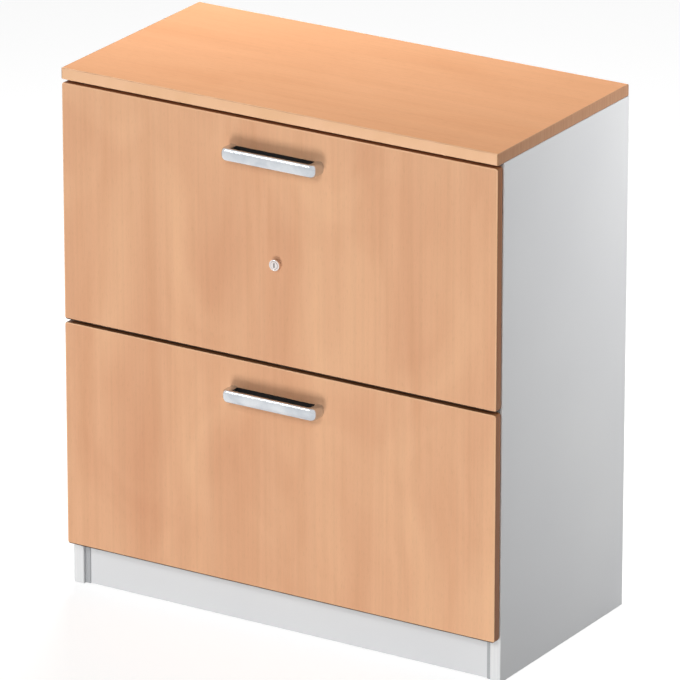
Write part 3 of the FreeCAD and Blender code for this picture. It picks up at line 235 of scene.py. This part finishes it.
def grey_edging():
    """Light grey ABS edging, extruded: a shade lighter and smoother than the board."""
    material, tree = new_material("light_grey_abs_edging")
    lines = blotches(tree, (2.0, 2.0, 90), detail=1.0)
    tone = add(
        tree, "ValToRGB", {"Fac": lines},
        stops=[(0.3, linear("e8e9ea")), (0.7, linear("eeefef"))],
    )["Color"]
    links = {"Strength": 0.15, "Distance": 0.04 * MM, "Height": lines}
    relief = add(tree, "Bump", links)["Normal"]
    finish(tree, {"Base Color": tone, "Roughness": 0.32, "Normal": relief})
    return material


def brushed_metal(name, tint, shade, size, rough):
    """Bare or plated metal: a mirror dulled by fine marks of a size in millimetres.

    Real marks are finer than a tenth of a millimetre, so they are drawn wider, to show. rough is the
    least and the most roughness across them.
    """
    material, tree = new_material(name)
    marks = blotches(tree, size, detail=3.0)
    cloud = blotches(tree, (35, 35, 35), distortion=0.5, shift=6.0)
    tone = add(
        tree, "ValToRGB", {"Fac": cloud}, stops=[(0.35, linear(shade)), (0.65, linear(tint))]
    )["Color"]
    links = {"Value": marks, 1: 0.3, 2: 0.7, 3: rough[0], 4: rough[1]}
    gloss = add(tree, "MapRange", links)["Result"]
    links = {"Strength": 0.3, "Distance": 0.02 * MM, "Height": marks}
    relief = add(tree, "Bump", links)["Normal"]
    finish(tree, {"Base Color": tone, "Metallic": 1.0, "Roughness": gloss, "Normal": relief})
    return material


def grained(name, light, dark, size, roughness, depth, shine=0.5):
    """Plastic, powder coat or raw wood: two close tones and a relief, both of the given grain.

    size and depth are in millimetres, and the depth is of the relief.
    """
    material, tree = new_material(name)
    grain = blotches(tree, size, detail=3.0)
    tone = add(
        tree, "ValToRGB", {"Fac": grain}, stops=[(0.3, linear(dark)), (0.7, linear(light))]
    )["Color"]
    links = {"Strength": 0.4, "Distance": depth * MM, "Height": grain}
    relief = add(tree, "Bump", links)["Normal"]
    links = {"Base Color": tone, "Roughness": roughness, "Normal": relief}
    finish(tree, links | {"Specular IOR Level": shine})
    return material


PAD_TOP = 8.05 * MM


def foot_material():
    """Levelling foot: a dull black nylon pad, and above PAD_TOP a bright zinc-plated stud."""
    material, tree = new_material("nylon_pad_and_zinc_stud")
    height = add(tree, "SeparateXYZ", {"Vector": add(tree, "TexCoord")["Object"]})["Z"]
    stud = add(tree, "Math", {0: height, 1: PAD_TOP}, operation="GREATER_THAN")[0]
    grain = blotches(tree, (0.8, 0.8, 0.8))
    tone = add(
        tree, "Mix", {0: stud, 6: linear("1a1a1b"), 7: linear("c6c9cc")}, data_type="RGBA"
    )[2]
    gloss = add(tree, "MapRange", {"Value": grain, 3: 0.35, 4: 0.5})["Result"]
    links = {"Strength": 0.3, "Distance": 0.05 * MM, "Height": grain}
    relief = add(tree, "Bump", links)["Normal"]
    finish(tree, {"Base Color": tone, "Metallic": stud, "Roughness": gloss, "Normal": relief})
    return material


# The top's board lies under a brighter light than the fronts, so its tones are painted deeper, as
# painted shade that offsets that light
BEECH_ACROSS = beech_laminate(
    "beech_melamine_top", np.array((1.0, 0.0, 0.0)), "e5aa7f", "e0a579", "db9d71", matt=0.6, shine=0.12
)
BEECH_UPRIGHT = beech_laminate(
    "beech_melamine_front", np.array((0.0, 0.0, 1.0)), "f6c49a", "e9b48e", "dba07b", matt=0.56, shine=0.2
)
# Edging: copies of one beech edging whose tones paint light and shade by which way a face looks: a
# painted highlight on the fronts' rounded front edges and the top's front and back, painted shade on
# the top's ends and the fronts' flats, and a painted shadow along the fronts' undersides
HIGHLIGHT_EDGING = beech_edging("beech_edging_painted_highlight", "f4c398", "fac9a1")
END_SHADE_EDGING = beech_edging("beech_edging_painted_end_shade", "b48462", "bd8f6d")
FLAT_SHADE_EDGING = beech_edging("beech_edging_painted_flat_shade", "8e5b38", "98643f")
SHADOW_EDGING = beech_edging("beech_edging_painted_shadow", "3f2818", "49301e")
GREY_BOARD = grey_laminate()
GREY_EDGING = grey_edging()
# Chrome plate on cast handles, satin polished: a soft highlight, drawn out along the bar
SATIN_CHROME = brushed_metal("satin_chrome_plate", "dadde0", "c6cbd1", (25, 0.5, 0.5), (0.16, 0.27))
# Polished nickel plate on the lock: a clearer mirror, a little warm
NICKEL = brushed_metal("bright_nickel_plate", "e6dedb", "dcd2cf", (1.2, 1.2, 1.2), (0.12, 0.24))
# Zinc plate on rolled steel: bluish grey, with dull streaks in the rolling direction
ZINC = brushed_metal("zinc_plated_steel", "cdd0d2", "bfc4c9", (0.8, 18, 0.8), (0.25, 0.45))
# Hardened balls in their cages: the brightest steel of the runners
BALL_STEEL = brushed_metal("bright_ball_steel", "d8dadc", "cbced1", (1.0, 6, 1.0), (0.1, 0.2))
# Moulded black ABS: a deep matt black with a fine spark-eroded grain
BLACK_PLASTIC = grained(
    "black_moulded_abs", "161617", "0d0d0e", (0.9, 0.9, 0.9), roughness=0.55, depth=0.06, shine=0.22
)
# Baked powder coat on the drawers' steel: a light grey with a low orange peel
POWDER_COAT = grained(
    "light_grey_powder_coat", "cfd1d3", "c6c8cb", (1.8, 1.8, 1.8), roughness=0.46, depth=0.07
)
# Soft extruded PVC in the plinth's corners: an even, dull mid grey, darker than the boards, which
# paints the shade that falls in those corners
SHADE_GREY_PVC = grained(
    "grey_pvc_seal_painted_shade", "b6b8ba", "aeb0b3", (2.0, 2.0, 2.0), roughness=0.55, depth=0.03, shine=0.3
)
# Moulded natural nylon: a warm white with a slight sheen
NYLON = grained("white_nylon", "eceae2", "e2e0d8", (1.2, 1.2, 1.2), roughness=0.5, depth=0.04)
# Turned and grooved beech dowels: bare dry wood with short darker pores
RAW_BEECH = grained("raw_beech_dowel", "dcb892", "c79c72", (1.5, 0.8, 6), roughness=0.7, depth=0.1)
FOOT = foot_material()

# What each CAD node is made of
FINISHES = {
    GREY_BOARD: [
        "left_side_panel", "right_side_panel", "bottom_panel", "back_panel", "plinth_board",
        "rear_plinth_rail", "front_top_rail",
    ],
    GREY_EDGING: ["side_edge_bands"],
    BEECH_ACROSS: ["top_panel"],
    BEECH_UPRIGHT: ["upper_front", "lower_front"],
    BLACK_PLASTIC: [
        "front_bumpers", "leveller_housings", "upper_handle_back_plate", "lower_handle_back_plate",
    ],
    ZINC: [
        "mid_rail", "cam_fittings", "connector_bolts", "carcass_screws", "lock_nut", "lock_pinion",
        "lock_rod", "lock_catch", "upper_front_brackets", "lower_front_brackets",
        "upper_drawer_screws", "lower_drawer_screws", "upper_runner_cabinet_members",
        "lower_runner_cabinet_members", "upper_runner_middle_members",
        "lower_runner_middle_members", "upper_runner_drawer_members", "lower_runner_drawer_members",
    ],
    BALL_STEEL: [
        "upper_outer_ball_cages", "lower_outer_ball_cages", "upper_inner_ball_cages",
        "lower_inner_ball_cages",
    ],
    POWDER_COAT: [
        side + "_" + part
        for side in ("upper", "lower")
        for part in (
            "drawer_left_side", "drawer_right_side", "drawer_back", "drawer_bottom", "middle_file_rail",
        )
    ],
    NYLON: ["rod_guides"],
    NICKEL: ["lock_plug"],
    RAW_BEECH: ["dowels"],
    FOOT: ["front_left_foot", "front_right_foot", "rear_left_foot", "rear_right_foot"],
}
for material, names in FINISHES.items():
    for name in names:
        slots = nodes[name].data.materials
        slots.clear()
        slots.append(material)

# Surfaces. An edge sharper than SHARP_ANGLE degrees stays crisp.
SHARP_ANGLE = 35.0
# The signs of a rectangle's corners, anticlockwise from the one at + and +
CORNERS = np.array([(1, 1), (-1, 1), (-1, -1), (1, -1)])


def piece(name, points, material, closed_rows=False, sharp=SHARP_ANGLE):
    """A solid from a grid of points: rows along a path, columns once round a closed profile.

    Quads join neighbours, the last column to the first. The ends are filled, or the last row joins the
    first. Faces are turned outwards.
    """
    rows, columns = points.shape[:2]
    index = np.arange(rows * columns).reshape(rows, columns)
    around = np.concatenate([index, index[:, :1]], axis=1)
    if closed_rows:
        around = np.concatenate([around, around[:1]], axis=0)
    quads = np.stack([around[:-1, :-1], around[:-1, 1:], around[1:, 1:], around[1:, :-1]], axis=-1)
    faces = quads.reshape(-1, 4).tolist()
    if not closed_rows:
        faces += [index[0, ::-1].tolist(), index[-1].tolist()]
    mesh = bpy.data.meshes.new(name)
    mesh.from_pydata(points.reshape(-1, 3), [], faces)
    shell = bmesh.new()
    shell.from_mesh(mesh)
    bmesh.ops.recalc_face_normals(shell, faces=shell.faces)
    shell.to_mesh(mesh)
    shell.free()
    mesh.shade_smooth()
    mesh.set_sharp_from_angle(angle=math.radians(sharp))
    mesh.materials.append(material)
    thing = bpy.data.objects.new(name, mesh)
    bpy.context.scene.collection.objects.link(thing)
    return thing


def repaint(thing, material, chosen):
    """Gives another material to the faces whose middles are chosen."""
    faces = thing.data.polygons
    middles = np.empty((len(faces), 3))
    faces.foreach_get("center", middles.ravel())
    finishes = np.empty(len(faces), np.int32)
    faces.foreach_get("material_index", finishes)
    finishes[chosen(middles)] = len(thing.data.materials)
    thing.data.materials.append(material)
    faces.foreach_set("material_index", finishes)


def box_corners(node):
    """A CAD node's lowest and highest corners, as arrays."""
    return tuple(np.array(corner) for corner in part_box(node))


def quarter_turns(count):
    """The angles of four quarter circles of count points each, anticlockwise, one row for each."""
    return np.arange(4)[:, None] * math.pi / 2 + np.linspace(0, math.pi / 2, count)


def rounded(half_width, half_height, radius, count):
    """Points once round a rectangle whose corners are quarter circles of count points each.

    A point is the corner's centre + radius x (cosine, sine). radius is one number, or one for each
    corner, in the order of CORNERS.
    """
    radii = np.broadcast_to(np.asarray(radius, float), 4)[:, None]
    turn = quarter_turns(count)
    across = CORNERS[:, :1] * (half_width - radii) + radii * np.cos(turn)
    up = CORNERS[:, 1:] * (half_height - radii) + radii * np.sin(turn)
    return np.stack([across.ravel(), up.ravel()], axis=-1)


# Seals in the plinth's corners
SEAL_WIDTH = 9.0 * MM
SEAL_DEPTH = 2.0 * MM
SEAL_SQUARENESS = 0.3
SEAL_POINTS = 24


def corner_seal(name, corner, inwards, low_z, high_z):
    """A soft strip in the upright corner between the plinth and a side panel.

    Row: the lower or upper end. Column: a point of the squarish quarter section, at corner + width x
    cosine^SEAL_SQUARENESS towards the middle and depth x sine^SEAL_SQUARENESS forwards, closed at the
    corner itself.
    """
    turn = np.linspace(0, math.pi / 2, SEAL_POINTS)
    across = np.append(SEAL_WIDTH * np.abs(np.cos(turn)) ** SEAL_SQUARENESS, 0) * inwards
    forward = np.append(SEAL_DEPTH * np.sin(turn) ** SEAL_SQUARENESS, 0)
    points = np.empty((2, len(across), 3))
    points[..., 0] = corner[0] + across
    points[..., 1] = corner[1] - forward
    points[..., 2] = np.array([low_z, high_z])[:, None]
    return piece(name, points, SHADE_GREY_PVC)


low, high = box_corners("plinth_board")
for side, x, inwards in (("left", low[0], 1), ("right", high[0], -1)):
    strip = corner_seal(side + "_plinth_seal", (x, low[1]), inwards, low[2], high[2])
    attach(strip, "carcass")

# Edging round the top and the fronts
EDGING = 2.0 * MM
EDGING_ROUNDING = 1.6 * MM
EDGING_BACK_ROUNDING = 0.02 * MM
TOP_CORNER = 2.2 * MM
FRONT_CORNER = 4.5 * MM
BOARD_CORNER_POINTS = 9
EDGING_SECTION_POINTS = 6
# How much of the rounding gets the painted highlight
HIGHLIGHT_SHARE = 0.7


def edging_ring(name, low, high, flat, corner, face):
    """Edging carried once round a board with round corners.

    Row: a point of the board's outline in the plane of the two flat axes, with its outward direction.
    Column: a point of the strip's section, EDGING thick outwards and as deep as the board, whose outer
    corners are rounded. Each point is outline + outward x offset + deep axis x depth.
    """
    a, b = flat
    deep = 3 - a - b
    centre = (low + high) / 2
    half = (high - low) / 2
    outline = rounded(half[a], half[b], corner, BOARD_CORNER_POINTS)
    turn = quarter_turns(BOARD_CORNER_POINTS).ravel()
    outward = np.stack([np.cos(turn), np.sin(turn)], axis=-1)
    radii = (EDGING_ROUNDING, EDGING_BACK_ROUNDING, EDGING_BACK_ROUNDING, EDGING_ROUNDING)
    section = rounded(EDGING / 2, half[deep], radii, EDGING_SECTION_POINTS)
    offset = section[:, 0] - EDGING / 2
    spot = outline[:, None, :] + outward[:, None, :] * offset[None, :, None]
    points = np.empty(spot.shape[:2] + (3,))
    points[..., a] = centre[a] + spot[..., 0]
    points[..., b] = centre[b] + spot[..., 1]
    points[..., deep] = centre[deep] + section[None, :, 1]
    return piece(name, points, face, closed_rows=True)


low, high = box_corners("top_edge_band")
# The top's edging: a painted highlight on its front and back, and painted shade on its two ends
band = edging_ring("top_edging", low, high, (0, 1), TOP_CORNER, HIGHLIGHT_EDGING)
repaint(band, END_SHADE_EDGING, lambda middles: np.abs(middles[:, 0]) > high[0] - EDGING)
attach(band, "carcass")
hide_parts("top_edge_band")
for side in ("upper", "lower"):
    low, high = box_corners(side + "_front_edge_band")
    band = edging_ring(side + "_front_edging", low, high, (0, 2), FRONT_CORNER, FLAT_SHADE_EDGING)
    # The flats are painted shade; the rounded front edge gets a painted highlight, and the bottom strip
    # a painted shadow
    highlight_y, shadow_z = low[1] + EDGING_ROUNDING * HIGHLIGHT_SHARE, low[2] + EDGING
    repaint(band, HIGHLIGHT_EDGING, lambda middles: middles[:, 1] < highlight_y)
    repaint(band, SHADOW_EDGING, lambda middles: middles[:, 2] < shadow_z)
    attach(band, side + "_drawer")
    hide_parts(side + "_front_edge_band")

# Handles. The leg and the bar are the bow's thickness, the two radii those of its outer and inner
# bend; rounding is of the section's inner corners, swell and crown the depth and height of its face's
HANDLE_LEG = 14.0 * MM
HANDLE_BAR = 8.0 * MM
HANDLE_OUTER_RADIUS = 9.0 * MM
HANDLE_INNER_RADIUS = 4.0 * MM
HANDLE_ROUNDING = 2.6 * MM
HANDLE_SWELL = 5.0 * MM
HANDLE_CROWN = 9.0 * MM
HANDLE_BEND_POINTS = 15
HANDLE_LEG_STEPS = 4
HANDLE_CORNER_POINTS = 13
HANDLE_SHARP_ANGLE = 50.0


def bow_path(half_span, depth, radius):
    """One side of the bow, from foot to foot: (place along the front, distance from it) of each point.

    Each half is a straight leg in HANDLE_LEG_STEPS and a quarter circle: span - radius + radius x
    cosine along the front, and depth - radius + radius x sine away from it. The second half mirrors
    the first.
    """
    turn = np.linspace(0, math.pi / 2, HANDLE_BEND_POINTS)
    rise = np.linspace(0, 1, HANDLE_LEG_STEPS + 1)[:-1]
    bend_x = half_span - radius + radius * np.cos(turn)
    bend_depth = depth - radius + radius * np.sin(turn)
    along = np.append(np.full(HANDLE_LEG_STEPS, half_span), bend_x)
    away = np.append(rise * bend_depth[0], bend_depth)
    half = np.stack([along, away], axis=-1)
    return np.concatenate([half, half[::-1] * (-1, 1)])


def bow_handle(name, low, high):
    """A bow handle: a rounded section carried from one foot, round the bow, to the other.

    Row: an outer point and an inner point of the bow; their middle is the section's centre and their
    difference its thickness. Column: a point of the section, its first coordinate along that
    difference and its second along the height. The inner corners are quarter circles, and the outer
    ones quarter ellipses, HANDLE_SWELL deep and HANDLE_CROWN high, which round the whole face.
    """
    half_span, half_height = (high[0] - low[0]) / 2, (high[2] - low[2]) / 2
    depth = high[1] - low[1]
    outer = bow_path(half_span, depth, HANDLE_OUTER_RADIUS)
    inner = bow_path(half_span - HANDLE_LEG, depth - HANDLE_BAR, HANDLE_INNER_RADIUS)
    centre = (outer + inner) / 2
    reach = np.linalg.norm(outer - inner, axis=1) / 2
    along = (outer - inner) / (2 * reach[:, None])
    turn = quarter_turns(HANDLE_CORNER_POINTS).ravel()
    sign = np.repeat(CORNERS, HANDLE_CORNER_POINTS, axis=0)
    corner_depth = np.where(sign[:, 0] > 0, HANDLE_SWELL, HANDLE_ROUNDING)
    corner_height = np.where(sign[:, 0] > 0, HANDLE_CROWN, HANDLE_ROUNDING)
    across = sign[:, 0] * (reach[:, None] - corner_depth) + corner_depth * np.cos(turn)
    height = sign[:, 1] * (half_height - corner_height) + corner_height * np.sin(turn)
    spot = centre[:, None, :] + along[:, None, :] * across[..., None]
    points = np.empty(spot.shape[:2] + (3,))
    points[..., 0] = (low[0] + high[0]) / 2 + spot[..., 0]
    points[..., 1] = high[1] - spot[..., 1]
    points[..., 2] = (low[2] + high[2]) / 2 + height[None, :]
    return piece(name, points, SATIN_CHROME, sharp=HANDLE_SHARP_ANGLE)


for side in ("upper", "lower"):
    low, high = box_corners(side + "_handle")
    handle = bow_handle(side + "_bow_handle", low, high)
    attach(handle, side + "_drawer")
    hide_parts(side + "_handle")

# The lock's housing: radii in millimetres, and the thread's crest and root below the body's radius
NOSE_RADIUS = 9.5
BODY_RADIUS = 8.0
BORE_RADIUS = 6.08
THREAD_CREST = 0.05
THREAD_ROOT = 0.55
LOCK_STEPS = 96


def turned(name, centre, profile, material, steps):
    """A turned ring: a closed profile of (radius, y) carried once round the axis along Y.

    Row: an angle. Column: a profile point, at centre + radius x (cosine, sine) in X and Z.
    """
    angle = np.linspace(0, 2 * math.pi, steps, endpoint=False)[:, None]
    radius, place = profile[:, 0], profile[:, 1]
    points = np.empty((steps, len(profile), 3))
    points[..., 0] = centre[0] + radius * np.cos(angle)
    points[..., 2] = centre[2] + radius * np.sin(angle)
    points[..., 1] = place + 0 * angle
    return piece(name, points, material, closed_rows=True)


low, high = box_corners("lock_housing")
lip, back = low[1] / MM, high[1] / MM
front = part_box("upper_front")[0][1] / MM
# The mouth of the bore, the ring and shoulder of the nose, and the step behind the front's face
nose_profile = np.array([
    (BORE_RADIUS, back), (BORE_RADIUS, lip + 1.4), (BORE_RADIUS + 0.25, lip + 0.9),
    (BORE_RADIUS + 0.7, lip + 0.75), (BORE_RADIUS + 1.0, lip + 0.25), (BORE_RADIUS + 1.5, lip),
    (NOSE_RADIUS - 1.3, lip), (NOSE_RADIUS - 0.75, lip + 0.12), (NOSE_RADIUS - 0.35, lip + 0.38),
    (NOSE_RADIUS - 0.1, lip + 0.75), (NOSE_RADIUS, lip + 1.3), (NOSE_RADIUS, front - 0.3),
    (NOSE_RADIUS - 0.2, front), (BODY_RADIUS - 0.3, front),
])
# The thread's crests and roots take turns every millimetre
threads = np.arange(int(back - front - 0.5))
thread_radius = BODY_RADIUS - np.where(threads % 2 == 0, THREAD_CREST, THREAD_ROOT)
thread_profile = np.stack([thread_radius, front + 1.0 + threads], axis=-1)
end_profile = np.array([(BODY_RADIUS - 0.5, back)])
profile = np.concatenate([nose_profile, thread_profile, end_profile]) * MM
housing = turned("lock_barrel", (low + high) / 2, profile, NICKEL, LOCK_STEPS)
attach(housing, "upper_drawer")
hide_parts("lock_housing")

# Beads in the drawers' steel sides
BEAD_HALF_LENGTH = 125.0 * MM
BEAD_HALF_HEIGHT = 11.0 * MM
BEAD_MIDDLE_Y = 20.0 * MM
BEAD_RISE = 1.6 * MM
# The foot starts this far inside the steel
BEAD_SUNK = 0.2 * MM
# How far the crown's outline lies inside the foot's, as a share of the half height
BEAD_SLOPE_SHARE = 0.6
BEAD_RINGS = 9
BEAD_END_POINTS = 12
# Each bead's height, as a share of the side's
BEAD_LEVELS = (("low", 0.52), ("high", 0.8))


def pressed_bead(name, side_x, outwards, middle):
    """A long flat bead pressed outwards in a drawer's steel side, to stiffen it.

    Row: a ring from the bead's foot to its crown; a share of the way inwards it stands out by
    rise x (1 - cosine(pi x share)) / 2. Column: a point of the ring, a slot shape with half-round ends.
    """
    share = np.linspace(0, 1, BEAD_RINGS)[:, None]
    turn = quarter_turns(BEAD_END_POINTS).ravel()
    end_radius = BEAD_HALF_HEIGHT - 0.01 * MM
    outline = rounded(BEAD_HALF_LENGTH, BEAD_HALF_HEIGHT, end_radius, BEAD_END_POINTS)
    shrink = share * BEAD_HALF_HEIGHT * BEAD_SLOPE_SHARE
    stand = BEAD_RISE * (1 - np.cos(math.pi * share)) / 2 - BEAD_SUNK
    points = np.empty((len(share), len(turn), 3))
    points[..., 0] = side_x + outwards * stand
    points[..., 1] = middle[0] + outline[:, 0] - shrink * np.cos(turn)
    points[..., 2] = middle[1] + outline[:, 1] - shrink * np.sin(turn)
    return piece(name, points, POWDER_COAT)


for side in ("upper", "lower"):
    for hand, end, outwards in (("left", 0, -1), ("right", 1, 1)):
        corners = box_corners(side + "_drawer_" + hand + "_side")
        low_z, high_z = corners[0][2], corners[1][2]
        for level, share in BEAD_LEVELS:
            middle = (BEAD_MIDDLE_Y, low_z + share * (high_z - low_z))
            name = "_".join((side, hand, level, "bead"))
            bead = pressed_bead(name, corners[end][0], outwards, middle)
            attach(bead, side + "_drawer")

# Floor, background and lamps
FLOOR_HALF = 40.0
FLOOR_THICKNESS = 0.02
FLOOR_BOUNCE = 0.36
FLOOR_LIFT = 0.82
AMBIENT = 0.1


def background_ray(tree):
    """1 for a camera, glossy or transmission ray, which sees the background white, and else 0."""
    seen = add(tree, "LightPath")
    links = {0: seen["Is Camera Ray"], 1: seen["Is Glossy Ray"]}
    ray = add(tree, "Math", links, operation="MAXIMUM")[0]
    links = {0: ray, 1: seen["Is Transmission Ray"]}
    return add(tree, "Math", links, operation="MAXIMUM")[0]


def floor_material():
    """A pale matt floor. The camera and reflections see it lifted to white, with the shadow on it."""
    material, tree = new_material("pale_floor")
    links = {0: background_ray(tree), 1: FLOOR_LIFT}
    lift = add(tree, "Math", links, operation="MULTIPLY")[0]
    links = {"Base Color": grey(FLOOR_BOUNCE), "Roughness": 1.0, "Specular IOR Level": 0.0}
    finish(tree, links | {"Emission Color": grey(1.0), "Emission Strength": lift})
    return material


# Row: the slab's underside or its top. Column: a corner
slab = np.empty((2, 4, 3))
slab[..., :2] = CORNERS * FLOOR_HALF
slab[..., 2] = np.array([-FLOOR_THICKNESS, 0.0])[:, None]
floor = piece("floor", slab, floor_material())
floor.visible_shadow = False  # the low lamp shines up through it

world = bpy.data.worlds.new("studio")
bpy.context.scene.world = world
world.use_nodes = True
tree = world.node_tree
tree.nodes.clear()
dim = add(tree, "Background", {"Color": grey(1.0), "Strength": AMBIENT})[0]
white = add(tree, "Background", {"Color": grey(1.0), "Strength": 1.0})[0]
sky = add(tree, "MixShader", {0: background_ray(tree), 1: dim, 2: white})[0]
add(tree, "OutputWorld", {"Surface": sky})


def lamp(name, place, aim, size, level, in_gloss=False):
    """A square soft lamp, which reflections show only if it is in_gloss.

    level is the light that it gives a surface facing it at the aim, where 1 is plain. A lamp of power
    P lights a facing surface at distance d by P / (pi^2 x d^2).
    """
    data = bpy.data.lights.new(name, "AREA")
    place, aim = Vector(place), Vector(aim)
    distance = (place - aim).length
    data.energy = level * math.pi**2 * distance**2
    data.size = size
    thing = aimed(name, data, aim, (place - aim) / distance, distance)
    thing.visible_camera = False
    thing.visible_glossy = in_gloss


# The fronts are lit from ahead, high ahead and low: the low lamp throws the shadow above each handle
lamp("front_lamp", (0.8, -6.0, 1.5), (0, -0.2, 0.5), size=1.6, level=0.05)
lamp("high_front_lamp", (1.5, -5.5, 4.0), (0, -0.2, 0.5), size=2.0, level=0.28)
lamp("low_lamp", (-1.2, -7.5, -4.0), (0, -0.2, 0.6), size=3.6, level=0.56)
# The one lamp that the handles and the lock reflect
lamp("gloss_lamp", (-3.6, -5.9, 3.6), (0, -0.2, 0.6), size=0.8, level=0.07, in_gloss=True)
# The top brightens towards its back left corner, and the side towards its top
lamp("high_back_lamp", (-0.5, 2.5, 4.5), (0, 0, 0.88), size=2.0, level=0.3)
lamp("back_left_lamp", (-0.85, 1.0, 1.9), (-0.3, 0.2, 0.88), size=0.6, level=1.45)
lamp("side_lamp", (1.3, 0.7, 1.0), (0.4, 0.2, 0.8), size=0.5, level=0.93)
